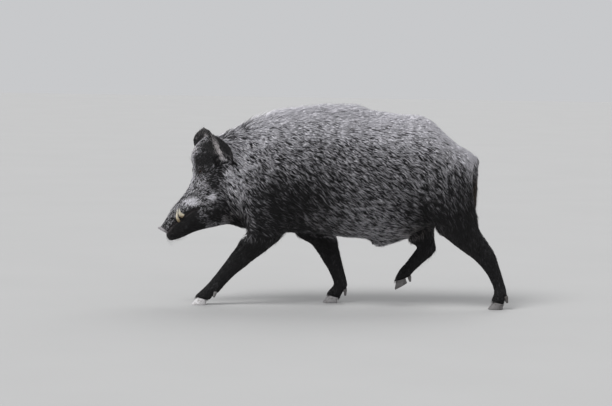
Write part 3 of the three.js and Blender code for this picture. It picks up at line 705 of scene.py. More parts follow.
def lie_of(x, z, share, zone):
    """Which way the coat lies, as if the neck were straight."""
    dip = np.interp(share, [0, 0.15, 0.4, 0.75, 0.93, 1], np.radians([6, 22, 38, 30, 14, 4]))
    rump = eased(x, 0.36, 0.60)
    dip = lerp(dip, math.radians(78), rump * eased(share, 1.05, 0.55))
    neck = eased(x, -0.28, -0.46)
    dip = lerp(dip, np.interp(share, [0, 0.3, 0.8, 1], np.radians([10, 42, 36, 8])), neck)
    up_face = np.interp(z, [0.30, 0.45, 0.60, 0.72], np.radians([-48, -58, -70, -52]))
    cheek = eased(x, -0.66, -0.55) * eased(z, 0.64, 0.54)
    dip_head = lerp(up_face, math.radians(14), cheek)
    dip = np.where(within(zone, "head"), dip_head, dip)
    dip = np.where(within(zone, "lower_jaw"), math.radians(4), dip)
    lie = np.stack([np.cos(dip), np.zeros_like(dip), -np.sin(dip)], 1)
    for name in ("ear_left", "ear_right"):
        lie[zone == ZONE[name]] = -limb_direction(name)
    for name in LEG_FLESH:
        lie[zone == ZONE[name]] = limb_direction(name)
    lie[within(zone, "tail")] = unit(np.array([0.15, 0, -1.0]))
    return lie


def turned_with_neck(lie, x):
    turn = turn_at(x)[:, None]
    a, b = lie[:, :1], lie[:, 1:2]
    c, s = np.cos(turn), np.sin(turn)
    return np.concatenate([a * c - b * s, a * s + b * c, lie[:, 2:]], 1)


def blunter_ear(points, zone):
    """The points with the upper half of the right ear widened to a blunt end."""
    low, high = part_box("ear_right")
    ear = within(zone, "ear_right")
    level = np.clip((points[:, 2] - low[2]) / (high[2] - low[2]), 0, 1)
    slope, start = np.polyfit(level[ear], points[ear, 0], 1)
    upper = ear * eased(level, 0.30, 0.75)
    made = points.copy()
    made[:, 0] += EAR_WIDENS * upper * (points[:, 0] - start - slope * level)
    made[:, 2] += EAR_RISES * upper * level * (1 - level) * (high[2] - low[2])
    return made


def coat_of(x, out, z, share, zone, from_tail_root):
    """Length, depth and width of the coat at each point, in mm."""
    coat = by_zone(zone, COAT)[:, :3]
    mane = eased(share, 0.86, 0.98) * eased(x, 0.16, 0.02) * within(zone, "trunk", "neck")
    coat[:, 0] += MANE_LONGER * mane
    coat[:, 1] += MANE_DEEPER * mane
    round_mouth = eased(line_distance(x, z, MOUTH_LINE), 26, 6)
    round_snout = eased(np.hypot(x / MM - SNOUT_FACE[0], z / MM - SNOUT_FACE[1]), 70, 30)
    round_eye = eased(np.hypot(x / MM - EYE_SPOT[0], z / MM - EYE_SPOT[1]), 44, 18)
    fine = np.maximum(np.maximum(round_mouth, round_snout), round_eye) * within(zone, "head", "lower_jaw")
    coat[:, 0] *= 1 - 0.55 * fine
    coat[:, 2] *= 1 - 0.30 * fine
    coat[:, 1] = lerp(coat[:, 1], 3.0, eased(from_tail_root, 0.085, 0.035) * within(zone, "trunk"))
    low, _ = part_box("tail")
    under_tail = eased(np.abs(out), 0.05, 0.02) * eased(x, low[0] - 0.04, low[0] - 0.01)
    under_tail = under_tail * (z > low[2] - 0.02) * ~within(zone, "tail")
    coat[:, 1] = lerp(coat[:, 1], 4.0, under_tail)
    return coat


def tail_filled(x):
    """How far the free tail is moved towards the rump, to meet the sunk skin there."""
    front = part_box("tail")[0][0]
    return 3 * MM + 9 * MM * eased(x, front + 20 * MM, front + 2 * MM)


class BOAR_OT_skin(bpy.types.Operator):
    """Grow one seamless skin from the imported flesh, sunk by the depth of the coat"""

    bl_idname = "boar.skin"
    bl_label = "Skin"

    def execute(self, context):
        settings = context.scene.boar_skin
        grain = settings.voxel * 1.0
        parts = [swollen(*welded(name), OVERLAP) for name in FLESH]
        mesh = mesh_from("skin", *joined(parts))
        mesh = modified(mesh, "REMESH", mode="VOXEL", voxel_size=grain)
        mesh = largest_shell(mesh)
        net = Net(mesh, grain)
        solids = Solids()
        zone = solids.nearest(net.points)[0]
        low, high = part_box("tail")
        tail_root = (low[0], 0.0, high[2] - 18 * MM)
        from_root = np.linalg.norm(net.points - tail_root, axis=1)
        strength = by_zone(zone, SMOOTHING)
        docked = lerp(strength, 0.05, eased(from_root, 0.06, 0.02))
        strength = net.spread(np.where(within(zone, "tail"), docked, strength), 0.015)[:, None]
        net.points = net.spread(net.points, 0.026, strength)
        shrunk = net.spread(solids.inside(net.points, net.normals()), 0.020)
        x, out, z = unbent(net.points)
        share = topline(x, z, within(zone, "trunk", "neck"))
        coat = net.spread(coat_of(x, out, z, share, zone, from_root) * MM, 0.020)
        lie = net.spread(turned_with_neck(lie_of(x, z, share, zone), x), 0.018)
        mark = net.spread(marks_of(x, out, z, share, zone), 0.006)
        normals = unit(net.spread(net.normals(), 0.012))
        net.points -= normals * (coat[:, 1] - shrunk)[:, None]
        net.points = blunter_ear(net.points, zone)
        net.points = net.spread(net.points, 0.003, 0.5)
        net.points += net.normals() * relief_of(*unbent(net.points), net.normals(), zone)[:, None]
        free = within(zone, "tail") * eased(from_root, 0.02, 0.05)
        net.points[:, 0] -= free * tail_filled(net.points[:, 0])
        place_points(mesh, net.points)
        lips = lips_at(x, out, z, zone)
        dark = np.maximum(lips, np.clip(1.6 * nostrils_at(x, out, z, zone), 0, 1))
        mark = lerp(mark, DARK_HIDE, dark[:, None])
        for name, values in (("coat", coat), ("lie", lie), ("mark", mark), ("zone", zone), ("sow", 1 - lips)):
            write_attribute(mesh, name, values)
        hidden = net.spread(within(zone, "trunk", "neck").astype(float), 0.015)
        mesh = modified(mesh, "DECIMATE", vertex_group=hidden * 0.5 + 0.5,
                        ratio=settings.triangles / len(net.triangles), vertex_group_factor=1.0)
        mesh = with_lids(mesh)
        skin = link(bpy.data.objects.new("skin", mesh))
        mesh.shade_smooth()
        unwrap(skin)
        mesh.materials.clear()
        mesh.materials.append(skin_material(settings, context.scene.boar_coat))
        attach(skin, "root")
        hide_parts(*FLESH)
        return {"FINISHED"}


class EyeFrame:
    """The middle of an eye, its axis outwards, the way to the front corner, and the way to the brow."""

    def __init__(self, name):
        low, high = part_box(name)
        side = -1 if name.endswith("left") else 1
        straight = unit(np.array([[-0.50, side, 0.03], EYE_CORNER_WAY, [0, 0, 0]]))
        axis, corner, _ = turned_with_neck(straight, np.full(3, TURN_ENDS_X))
        self.axis = axis
        self.corner = unit(corner - axis * (corner @ axis))
        brow = np.cross(self.axis, self.corner)
        self.brow = brow * np.sign(brow[2])
        self.middle = np.array((low + high) / 2) - axis * EYE_SUNK

    def around(self, angle):
        return self.corner * np.cos(angle)[:, None] + self.brow * np.sin(angle)[:, None]


EYE_RADIUS = 11 * MM
EYE_SUNK = 7 * MM
EYE_CORNER_WAY = (-0.62, 0, -0.78)  # from the eye to its front corner, towards the snout
LID_OPENING = tuple(math.radians(angle) for angle in (47, 25, 17))  # half length, upper and lower half height
# Rings of a lid on the eyeball: degrees outside the opening, and height over the ball in mm.
LID_RINGS = (
    (0.0, 0.1), (-0.6, 0.7), (0.6, 1.7), (5, 2.3), (12, 2.5), (17, 1.5), (22, 2.3), (30, 2.9), (38, 2.6),
)
LID_REACH = 24 * MM
LID_STEPS = 56
LID_COAT = (8, 1.1, 1.4)  # length, depth and width of its tufts, in mm
LID_SOW = 2.6  # number of its tufts, as a share of the head's
LID_MARK, RIM_MARK = (0.26, 0.1, 0), (0, 0.05, 0.9)  # frost, brown and bare on a lid and on its rim


def lids_round(eye, tree):
    """A closed ring of flesh round one eye: points and quads. Its outer side dives under the skin."""
    angle = np.linspace(0, 2 * np.pi, LID_STEPS, endpoint=False)
    length, upper, lower = LID_OPENING
    a = length * np.sign(np.cos(angle)) * np.abs(np.cos(angle)) ** 1.15
    b = np.where(np.sin(angle) > 0, upper, lower) * np.sin(angle)
    opening, way = np.hypot(a, b), np.arctan2(b, a)
    out = eye.around(way)
    rings = []
    for wider, height in LID_RINGS:
        theta = (opening + math.radians(wider))[:, None]
        radial = out * np.sin(theta) + eye.axis * np.cos(theta)
        rings.append(eye.middle + (EYE_RADIUS + height * MM) * radial)
    found = [tree.find_nearest(p) for p in (eye.middle + out * LID_REACH + eye.axis * 3 * MM).tolist()]
    shore, normal = (np.array([f[i] for f in found]) for i in (0, 1))
    brow = eased(np.sin(way), -0.1, 0.9)[:, None]
    rings.append(lerp(rings[-1], shore, 0.38) + eye.axis * (0.8 + 1.8 * brow) * MM)
    rings.append(lerp(rings[-2], shore, 0.75) + normal * (0.5 + 1.0 * brow) * MM)
    rings.append(shore - normal * 1.2 * MM)
    rings.append(shore - normal * 4 * MM)
    rings.append(eye.middle + out * EYE_RADIUS * 0.96 - eye.axis * 1 * MM)
    count = len(rings)
    ring, step = np.meshgrid(np.arange(count), np.arange(LID_STEPS), indexing="ij")
    after, ahead = (ring + 1) % count, (step + 1) % LID_STEPS
    quads = np.stack([ring * LID_STEPS + step, ring * LID_STEPS + ahead, after * LID_STEPS + ahead,
                      after * LID_STEPS + step], -1).reshape(-1, 4)
    points = np.concatenate(rings)
    first = points[quads[0]]
    outward = first.mean(0) - points.reshape(count, LID_STEPS, 3)[:, 0].mean(0)
    if np.cross(first[1] - first[0], first[3] - first[0]) @ outward < 0:
        quads = quads[:, ::-1]
    return points, quads


def with_lids(mesh):
    """The skin with lids round both eyes. Where sow is 0, as between them, no tufts stand."""
    points, triangles = read(mesh.vertices, "co", 3), triangles_of(mesh)
    fields = {name: read_attribute(mesh, name).astype(float) for name in ("coat", "lie", "mark")}
    fields["zone"] = read(mesh.attributes["zone"].data, "value", 1, np.int32)
    sow = read_attribute(mesh, "sow", 1).astype(float)
    tree = BVHTree.FromPolygons(points.tolist(), triangles.tolist())
    groups = [(points, triangles)]
    for name in ("eye_left", "eye_right"):
        eye = EyeFrame(name)
        lid, quads = lids_round(eye, tree)
        groups.append((lid, np.concatenate([quads[:, [0, 1, 2]], quads[:, [0, 2, 3]]])))
        sow[:len(points)] *= eased(np.linalg.norm(points - eye.middle, axis=1), 0.0135, 0.0175)
        found = [tree.find_nearest(p)[2] for p in lid.tolist()]
        corner = triangles[found, 0]
        ring = np.repeat(np.arange(len(lid) // LID_STEPS), LID_STEPS)
        away = unit(lid - eye.middle)
        rim = eased(ring, 4, 2)[:, None] + (ring >= len(LID_RINGS) + 4)[:, None]
        furred = np.maximum(fields["mark"][corner], LID_MARK)
        own = {
            "coat": np.full((len(lid), 3), LID_COAT) * MM,
            "lie": unit(0.8 * away - eye.corner * 0.9),
            "mark": lerp(furred, RIM_MARK, rim),
            "zone": np.full(len(lid), ZONE["head"]),
        }
        fields = {name: np.concatenate([fields[name], own[name]]) for name in fields}
        sow = np.concatenate([sow, LID_SOW * eased(ring, 2, 3) * (ring < len(LID_RINGS) + 2)])
    made = mesh_from("skin", *joined(groups))
    for name, values in {**fields, "sow": sow}.items():
        write_attribute(made, name, values)
    bpy.data.meshes.remove(mesh)
    return made


def unwrap(obj):
    """Lay the skin out flat in a UV map of its own."""
    obj.data.uv_layers.new(name="OFBake")
    bpy.context.view_layer.objects.active = obj
    obj.select_set(True)
    bpy.ops.object.mode_set(mode="EDIT")
    bpy.ops.mesh.select_all(action="SELECT")
    bpy.ops.uv.smart_project(angle_limit=math.radians(66), island_margin=0.001)
    bpy.ops.object.mode_set(mode="OBJECT")
    obj.select_set(False)


def skin_material(skin, coat):
    shader = Shader("skin", Specular_IOR_Level=0.4)
    frost, brown, bare = shader.attributes("mark")
    place = shader.place()
    fleck = shader.noise(shader.stretched(place, (0.4, 1.0, 1.0)), 300.0, 3.0, 0.6)
    lit = fleck.rise(0.74 - 0.34 * frost, 1.0 - 0.34 * frost)
    pale = shader.mix(brown, rgba(coat.pale), rgba(coat.brown))
    furred = shader.mix(lit * 0.5, rgba(skin.colour), pale)
    cells = {"Vector": place, "Scale": 420.0}
    grain = shader.node("ShaderNodeTexVoronoi", {"feature": "DISTANCE_TO_EDGE"}, cells)
    cloud = shader.noise(place, 60.0, 3.0)
    hide = shader.mix(cloud.rise(0.35, 0.7), rgba(skin.snout, 0.62), rgba(skin.snout))
    hide = shader.mix(grain.rise(0.0, 0.10), rgba(skin.snout, 0.5), hide)
    hide = shader.mix(frost.rise(0.05, 0.35), rgba(skin.lips), hide)
    naked = bare.rise(0.3, 0.7)
    rough = 0.8 - naked * (0.42 + cloud * 0.1)
    pores = grain.rise(0.0, 0.25) * naked + fleck * (1.0 - naked)
    return shader.feed(Base_Color=shader.mix(naked, furred, hide), Roughness=rough,
                       Normal=shader.bump(pores, 0.6, 0.0008))


# ------------------------------------------------------------------ coat


class Pelt:
    """The finished skin, as the coat needs it."""

    def __init__(self):
        mesh = bpy.data.objects["skin"].data
        self.points = read(mesh.vertices, "co", 3)
        self.triangles = triangles_of(mesh)
        self.normals = normals_of(self.points, self.triangles)
        self.coat = read_attribute(mesh, "coat").astype(float)
        self.sow = read_attribute(mesh, "sow", 1).astype(float)
        self.lie = read_attribute(mesh, "lie").astype(float)
        self.mark = read_attribute(mesh, "mark").astype(float)
        self.zone = read(mesh.attributes["zone"].data, "value", 1, np.int32)
        loops = read(mesh.loop_triangles, "loops", 3, np.int32)
        uv = read(mesh.uv_layers["OFBake"].uv, "vector", 2, np.float32)
        self.corner_uv = uv[loops]
        a, b, c = (self.points[self.triangles[:, i]] for i in range(3))
        self.area = np.linalg.norm(np.cross(b - a, c - a), axis=1) / 2
        self.tree = BVHTree.FromPolygons(self.points.tolist(), self.triangles.tolist())

    def mixed(self, values, face, weights):
        """Values of points, taken at places inside faces."""
        return (values[self.triangles[face]] * weights[:, :, None]).sum(1)

    def uv_at(self, face, weights):
        return (self.corner_uv[face] * weights[:, :, None]).sum(1)

    def over_faces(self, density):
        """How many roots each face bears, where density of them stand on a square metre at each point."""
        return self.area * density[self.triangles].mean(1)

    def sown(self, random, density):
        """Roots spread over the skin: their faces, and their places inside them."""
        share = np.cumsum(self.over_faces(density))
        count = int(share[-1])
        pick = (np.arange(count) + random.random(count)) * (share[-1] / count)
        face = np.minimum(np.searchsorted(share, pick), len(share) - 1)
        u, v = random.random((2, count))
        over = u + v > 1
        u[over], v[over] = 1 - u[over], 1 - v[over]
        return face, np.stack([1 - u - v, u, v], 1)

    def onto(self, places):
        """The nearest places on the skin, with the normal and the lie there."""
        found = [self.tree.find_nearest(p) for p in places.tolist()]
        spots = np.array([f[0] for f in found])
        corners = self.triangles[[f[2] for f in found]]
        return spots, unit(self.normals[corners].mean(1)), self.lie[corners].mean(1)


def along_skin(direction, normals):
    return unit(direction - normals * dot(direction, normals))


RING = 3  # points in a ring of a tuft: left, ridge, right
TAPER = np.array([0.8, 1.0])  # width of a tuft at its rings, as a share of its full width
PATCH = 0.003  # side of a tuft's patch in the UV map


def tuft_faces(rings):
    """Triangles of one tuft, and the places of their corners in its UV patch."""
    faces, spots = [], []
    tip = rings * RING

    def level(ring):
        return 0.1 + 0.9 * ring / rings

    for ring in range(rings):
        for side in range(RING):
            a, b = ring * RING + side, ring * RING + (side + 1) % RING
            left, right = side / RING, (side + 1) / RING
            low, high = level(ring), level(ring + 1)
            if ring + 1 < rings:
                faces += [(a, b, b + RING), (a, b + RING, a + RING)]
                spots.append([(left, low), (right, low), (right, high)])
                spots.append([(left, low), (right, high), (left, high)])
            else:
                faces.append((a, b, tip))
                spots.append([(left, low), (right, low), ((left + right) / 2, high)])
    faces.append((2, 1, 0))
    spots.append([(0.6, 0.1), (0.3, 0.0), (0.0, 0.1)])
    return np.array(faces), np.array(spots)


def tufts(name, spine, up, width, thick, mark, seed, root_uv):
    """One mesh of closed tufts. spine and up hold a row of points for each tuft, from root to tip."""
    count, stations = spine.shape[:2]
    rings = stations - 1
    along = unit(np.diff(spine, axis=1))
    side = unit(np.cross(along, up[:, :rings]))
    half = (width[:, None] / 2 * TAPER)[:, :, None] * side
    ridge = (thick[:, None] * TAPER)[:, :, None] * up[:, :rings]
    body = spine[:, :rings]
    ring = np.stack([body - half, body + ridge, body + half], 2).reshape(count, rings * RING, 3)
    points = np.concatenate([ring, spine[:, rings:]], 1)
    each = points.shape[1]
    pattern, spots = tuft_faces(rings)
    faces = (pattern[None] + (np.arange(count) * each)[:, None, None]).reshape(-1, 3)
    mesh = mesh_from(name, points.reshape(-1, 3), faces)
    across = np.tile([-1.0, 0.0, 1.0], rings)
    reach = np.repeat(np.arange(rings) / rings, RING)
    strand = np.empty((count, each, 3))
    strand[:, :, 0] = np.append(across, 0.0)
    strand[:, :, 1] = np.append(reach, 1.0)
    strand[:, :, 2] = seed[:, None]
    write_attribute(mesh, "strand", strand.reshape(-1, 3))
    write_attribute(mesh, "mark", np.repeat(mark, each, axis=0))
    uv = root_uv[:, None, None] + (spots[None] - 0.5) * PATCH
    layer = mesh.uv_layers.new(name="OFBake")
    layer.uv.foreach_set("vector", uv.astype(np.float32).ravel())
    mesh.shade_smooth()
    return mesh


def drift(points, wavelength, random):
    """A smooth random value between -1 and 1 over space."""
    total = np.zeros(len(points))
    for _ in range(DRIFT_WAVES):
        wave = unit(random.normal(size=3)) * 2 * np.pi / wavelength * random.uniform(0.7, 1.4)
        total += np.sin(points @ wave + random.uniform(0, 2 * np.pi))
    return total * 2 / DRIFT_WAVES


MOST_TUFTS = 19500  # in one piece of the coat
SQUARE_DM_IN_M = 100
DRIFT_WAVES = 6
SWAY_TOGETHER, SWAY_ALONE = 0.22, 0.17  # how far neighbours, and single tufts, lie across the lie of the coat
LENGTHS, RISES, WIDTHS = (0.7, 1.15), (0.45, 1.0), (0.55, 1.2)  # spread, as shares of the coat's own
ROOT_DEEP = 1.5 * MM
MIDDLE_RISE = 0.62  # height of a tuft's middle, as a share of its tip's
THICK_FOR_WIDTH = 0.35


class BOAR_OT_coat(bpy.types.Operator):
    """Lay tufts over the skin, back and down along the lie of the coat"""

    bl_idname = "boar.coat"
    bl_label = "Coat"

    def execute(self, context):
        settings = context.scene.boar_coat
        random = np.random.default_rng(settings.seed)
        pelt = Pelt()
        density = by_zone(pelt.zone, COAT)[:, 3] * SQUARE_DM_IN_M * settings.amount * pelt.sow
        face, weights = pelt.sown(random, density)
        count = len(face)
        root = pelt.mixed(pelt.points, face, weights)
        normal = unit(pelt.mixed(pelt.normals, face, weights))
        length, depth, width = pelt.mixed(pelt.coat, face, weights).T
        mark = pelt.mixed(pelt.mark, face, weights)
        lie = along_skin(pelt.mixed(pelt.lie, face, weights), normal)
        side = np.cross(normal, lie)
        sway = SWAY_TOGETHER * drift(root, 0.045, random) + SWAY_ALONE * random.normal(size=count)
        lie = unit(lie + side * sway[:, None])
        length = length * random.uniform(*LENGTHS, count)
        rise = depth * random.uniform(*RISES, count)
        width = width * random.uniform(*WIDTHS, count)
        middle, middle_up, middle_lie = pelt.onto(root + lie * (length / 2)[:, None])
        middle_lie = along_skin(middle_lie, middle_up)
        middle_lie = unit(middle_lie + np.cross(middle_up, middle_lie) * sway[:, None])
        wanted = middle + middle_lie * (length / 2)[:, None]
        tip, tip_up, _ = pelt.onto(wanted)
        past = dot(wanted - tip, tip_up)
        off_edge = np.linalg.norm(wanted - tip, axis=1)[:, None]
        tip = lerp(tip, wanted, 0.75 * eased(off_edge, 2 * MM, 8 * MM) * (past > -1 * MM))
        spine = np.stack([
            root - normal * ROOT_DEEP,
            middle + middle_up * (rise * MIDDLE_RISE)[:, None],
            tip + tip_up * rise[:, None],
        ], 1)
        up = np.stack([normal, middle_up, tip_up], 1)
        seed = random.random(count)
        mark[:, 2] = drift(root, 0.016, random) * 0.42 + drift(root, 0.05, random) * 0.2 + 0.5
        root_uv = pelt.uv_at(face, weights)
        mark[:, :2] = np.clip(mark[:, :2], 0, 1.6)
        zone = pelt.zone[pelt.triangles[face, 0]]
        material = coat_material(settings)
        for name, slot, chosen in coat_groups(root, zone):
            parts = np.array_split(np.flatnonzero(chosen), math.ceil(chosen.sum() / MOST_TUFTS))
            for number, rows in enumerate(parts, 1):
                title = name if len(parts) == 1 else f"{name}_{number}"
                thick = width[rows] * THICK_FOR_WIDTH
                mesh = tufts(title, spine[rows], up[rows], width[rows], thick, mark[rows], seed[rows],
                             root_uv[rows])
                finish(mesh, material, slot)
        return {"FINISHED"}


def coat_groups(root, zone):
    """Name, slot and choice of tufts of each piece of the coat."""
    names = np.array(FLESH)[zone]
    left = root[:, 1] < 0
    bands = {"neck": within(zone, "neck")}
    for band, low, high in (("shoulder", -9, -0.1), ("flank", -0.1, 0.25), ("rump", 0.25, 9)):
        bands[band] = within(zone, "trunk") & (root[:, 0] >= low) & (root[:, 0] < high)
    for band, inside in bands.items():
        yield f"coat_{band}_left", "coat", inside & left
        yield f"coat_{band}_right", "coat", inside & ~left
    yield "coat_face", "face_coat", within(zone, "head", "lower_jaw")
    yield "coat_ears", "ear", within(zone, "ear_left", "ear_right")
    yield "coat_tail", "coat", within(zone, "tail")
    for leg in LEGS:
        yield f"coat_{leg}", "leg_coat", np.char.startswith(names, leg)


def coat_material(settings):
    shader = Shader("coat", Roughness=0.5, Specular_IOR_Level=0.4)
    across, along, seed = shader.attributes("strand")
    frost, brown, clump = shader.attributes("mark")
    cell = shader.vector((across * 2.0).math("FLOOR", across * 2.0), seed * 733.0)
    bristle = shader.node("ShaderNodeTexWhiteNoise", {"noise_dimensions": "2D"}, {"Vector": cell}, "Value")
    draw = bristle * 0.12 + seed * 0.48 + clump * 0.40
    tipped = ((draw - 0.77 + frost * 0.46) / 0.10 + 0.3).clamped()
    start = bristle * 0.35
    start = start - (frost - 0.8).clamped() * 0.35
    lit = tipped * (along - start).rise(0.08, 0.45) * (frost * (0.95 + seed * 0.35) + 0.03)
    pale = shader.mix(brown, rgba(settings.pale), rgba(settings.brown))
    colour = shader.mix(lit.clamped(), rgba(settings.dark), pale)
    return shader.feed(Base_Color=colour, Normal=shader.bump(bristle, 0.35, 0.0006))


# ------------------------------------------------------------------ bristles

# Single long hairs: number, length and thickness (mm), how far they stand off the skin, sag, and the slot.
BRISTLES = {
    "mane": (1500, 78, 1.0, 0.26, 0.10, "coat"),
    "guard": (600, 52, 0.8, 0.30, 0.12, "coat"),
    "belly": (420, 44, 0.8, 0.40, 0.35, "coat"),
    "coronet": (900, 17, 1.7, 0.20, 0.75, "leg_coat"),
    "leg_fringe": (300, 40, 0.8, 0.35, 0.30, "leg_coat"),
    "tassel": (300, 52, 0.7, 0.12, 0.10, "coat"),
    "muzzle": (260, 34, 0.5, 0.95, 0.22, "face_coat"),
    "chin": (150, 36, 0.5, 0.75, 0.30, "face_coat"),
    "white": (420, 30, 1.3, 0.22, 0.10, "face_coat"),
    "brow": (80, 34, 0.55, 0.8, 0.15, "face_coat"),
    "ear_edge": (480, 26, 0.45, 0.45, 0.05, "ear"),
}
# Spread of their length, thickness and lift, as shares of the table's, and how far they stray from their lie.
HAIR_LENGTHS, HAIR_WIDTHS, HAIR_LIFTS, STRAY = (0.6, 1.15), (0.7, 1.2), (0.6, 1.3), 0.09
HAIR_SIDES, HAIR_JOINTS = 3, 4
LASHES = 26  # round the upper half of one eye
LASH_SHAPE = (11, 0.35, 0.1, -0.25)  # length, thickness, lift and sag, as in the table
# Where the whitest hairs of the face stand: middle (x, z), half sizes and angle.
WHITE_LOCKS = (((-648, 456), (24, 9), 8), ((-568, 489), (14, 7), 46), ((-489, 577), (32, 10), -66))


def bristle_fields(pelt):
    """How likely each kind of long hair is at each point of the skin."""
    x, out, z = unbent(pelt.points)
    body = within(pelt.zone, "trunk", "neck")
    share = topline(x, z, body)
    head, jaw = within(pelt.zone, "head"), within(pelt.zone, "lower_jaw")
    side = eased(np.abs(out), 0.01, 0.03)
    faces_down = pelt.normals[:, 2] <= -0.5
    coronet = np.zeros(len(z))
    for leg, lower_half in zip(LEGS, LEG_FLESH[1::2]):
        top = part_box(f"{leg}_hoof_outer")[1][2]
        coronet += within(pelt.zone, lower_half) * eased(z, top + 20 * MM, top + 6 * MM) * ~faces_down
    behind = (pelt.zone > ZONE["snout_disc"]) * eased(pelt.normals[:, 0], 0.45, 0.85)
    return {
        "mane": body * eased(share, 0.90, 0.985) * eased(x, 0.34, 0.05),
        "guard": body * eased(share, 0.2, 0.6) * eased(pelt.mark[:, 0], 0.2, 0.5),
        "belly": body * eased(share, 0.10, 0.03) * eased(x, -0.46, -0.38),
        "coronet": coronet,
        "leg_fringe": behind * eased(z, 0.16, 0.24) * eased(z, 0.46, 0.38),
        "tassel": within(pelt.zone, "tail") * eased(z, 0.62, 0.55),
        "muzzle": head * patch(x, z, (-712, 392), (44, 34), 50) * side,
        "chin": jaw * eased(x, -0.66, -0.72),
        "white": (body | head) * sum(patch(x, z, *place) ** 3 for place in WHITE_LOCKS) * side,
        "brow": head * patch(x, z, (-628, 634), (22, 8), -12) * side,
        "ear_edge": within(pelt.zone, "ear_left", "ear_right") * eased(pelt.mark[:, 0], 0.16, 0.4),
    }


def seeds(name, root, grow, bend, size, mark, uv):
    """Loose points for the bristles to stand on."""
    mesh = bpy.data.meshes.new(name)
    mesh.from_pydata(root.tolist(), [], [])
    for title, values in (("grow", grow), ("bend", bend), ("size", size), ("mark", mark)):
        write_attribute(mesh, title, values)
    write_attribute(mesh, "root_uv", np.column_stack([uv, np.zeros(len(uv))]))
    return mesh


def bristle_tree():
    """Stands one curved hair on every point, turned and stretched by the point's own values."""
    tree = bpy.data.node_groups.new("bristles", "GeometryNodeTree")

    def opening(name, kind, in_out="INPUT"):
        return tree.interface.new_socket(name, in_out=in_out, socket_type=f"NodeSocket{kind}").identifier

    kinds = {"Points": "Geometry", "Sides": "Int", "Joints": "Int", "Seed": "Int", "Material": "Material"}
    sockets = {name: opening(name, kind) for name, kind in kinds.items()}
    opening("Bristles", "Geometry", "OUTPUT")

    def plug(socket, value):
        if isinstance(value, bpy.types.NodeSocket):
            tree.links.new(value, socket)
        else:
            socket.default_value = value

    def node(kind, settings=None, **inputs):
        made = tree.nodes.new(kind)
        for name, value in (settings or {}).items():
            setattr(made, name, value)
        for name, value in inputs.items():
            plug(next(s for s in made.inputs if s.name == name.replace("_", " ") and s.enabled), value)
        return made

    def out(made, name=None):
        return next(s for s in made.outputs if s.enabled and (name is None or s.name == name))

    def named(name, kind="FLOAT_VECTOR"):
        return out(node("GeometryNodeInputNamedAttribute", {"data_type": kind}, Name=name))

    def maths(operation, a, b):
        made = node("ShaderNodeVectorMath", {"operation": operation})
        for socket, value in zip(made.inputs, (a, b)):
            plug(socket, value)
        return out(made)

    def stored(geometry, name, value, kind="FLOAT2", domain="CORNER"):
        return out(node("GeometryNodeStoreNamedAttribute", {"data_type": kind, "domain": domain},
                        Geometry=geometry, Name=name, Value=value))

    given = node("NodeGroupInput")
    cone = node("GeometryNodeMeshCone", Vertices=out(given, "Sides"), Side_Segments=out(given, "Joints"),
                Radius_Top=0.0, Radius_Bottom=1.0, Depth=1.0)
    height = out(node("ShaderNodeSeparateXYZ", Vector=out(node("GeometryNodeInputPosition"))), "Z")
    hair = stored(out(cone, "Mesh"), "along", height, "FLOAT", "POINT")
    hair = stored(hair, "OFBake", out(cone, "UV Map"))
    turn = out(node("FunctionNodeRandomValue", {"data_type": "FLOAT"},
                    Min=0.0, Max=6.283, Seed=out(given, "Seed")))
    spin = out(node("FunctionNodeAxisAngleToRotation", Axis=(0, 0, 1), Angle=turn))
    stand = out(node("FunctionNodeAlignRotationToVector", {"axis": "Z"}, Vector=named("grow")))
    stand = out(node("FunctionNodeRotateRotation", {"rotation_space": "LOCAL"},
                     Rotation=stand, Rotate_By=spin))
    placed = out(node("GeometryNodeInstanceOnPoints", Points=out(given, "Points"),
                      Instance=hair, Rotation=stand, Scale=named("size")))
    solid = out(node("GeometryNodeRealizeInstances", Geometry=placed))
    along = out(node("ShaderNodeCombineXYZ", X=named("along", "FLOAT"), Y=named("along", "FLOAT"),
                     Z=named("along", "FLOAT")))
    sag = maths("MULTIPLY", maths("MULTIPLY", along, along), named("bend"))
    solid = out(node("GeometryNodeSetPosition", Geometry=solid, Offset=sag))
    spot = maths("MULTIPLY", maths("SUBTRACT", named("OFBake"), (0.5, 0.5, 0.0)), (PATCH, PATCH, 0.0))
    solid = stored(solid, "OFBake", maths("ADD", named("root_uv"), spot))
    solid = out(node("GeometryNodeSetMaterial", Geometry=solid, Material=out(given, "Material")))
    tree.links.new(solid, node("NodeGroupOutput").inputs[0])
    return tree, sockets


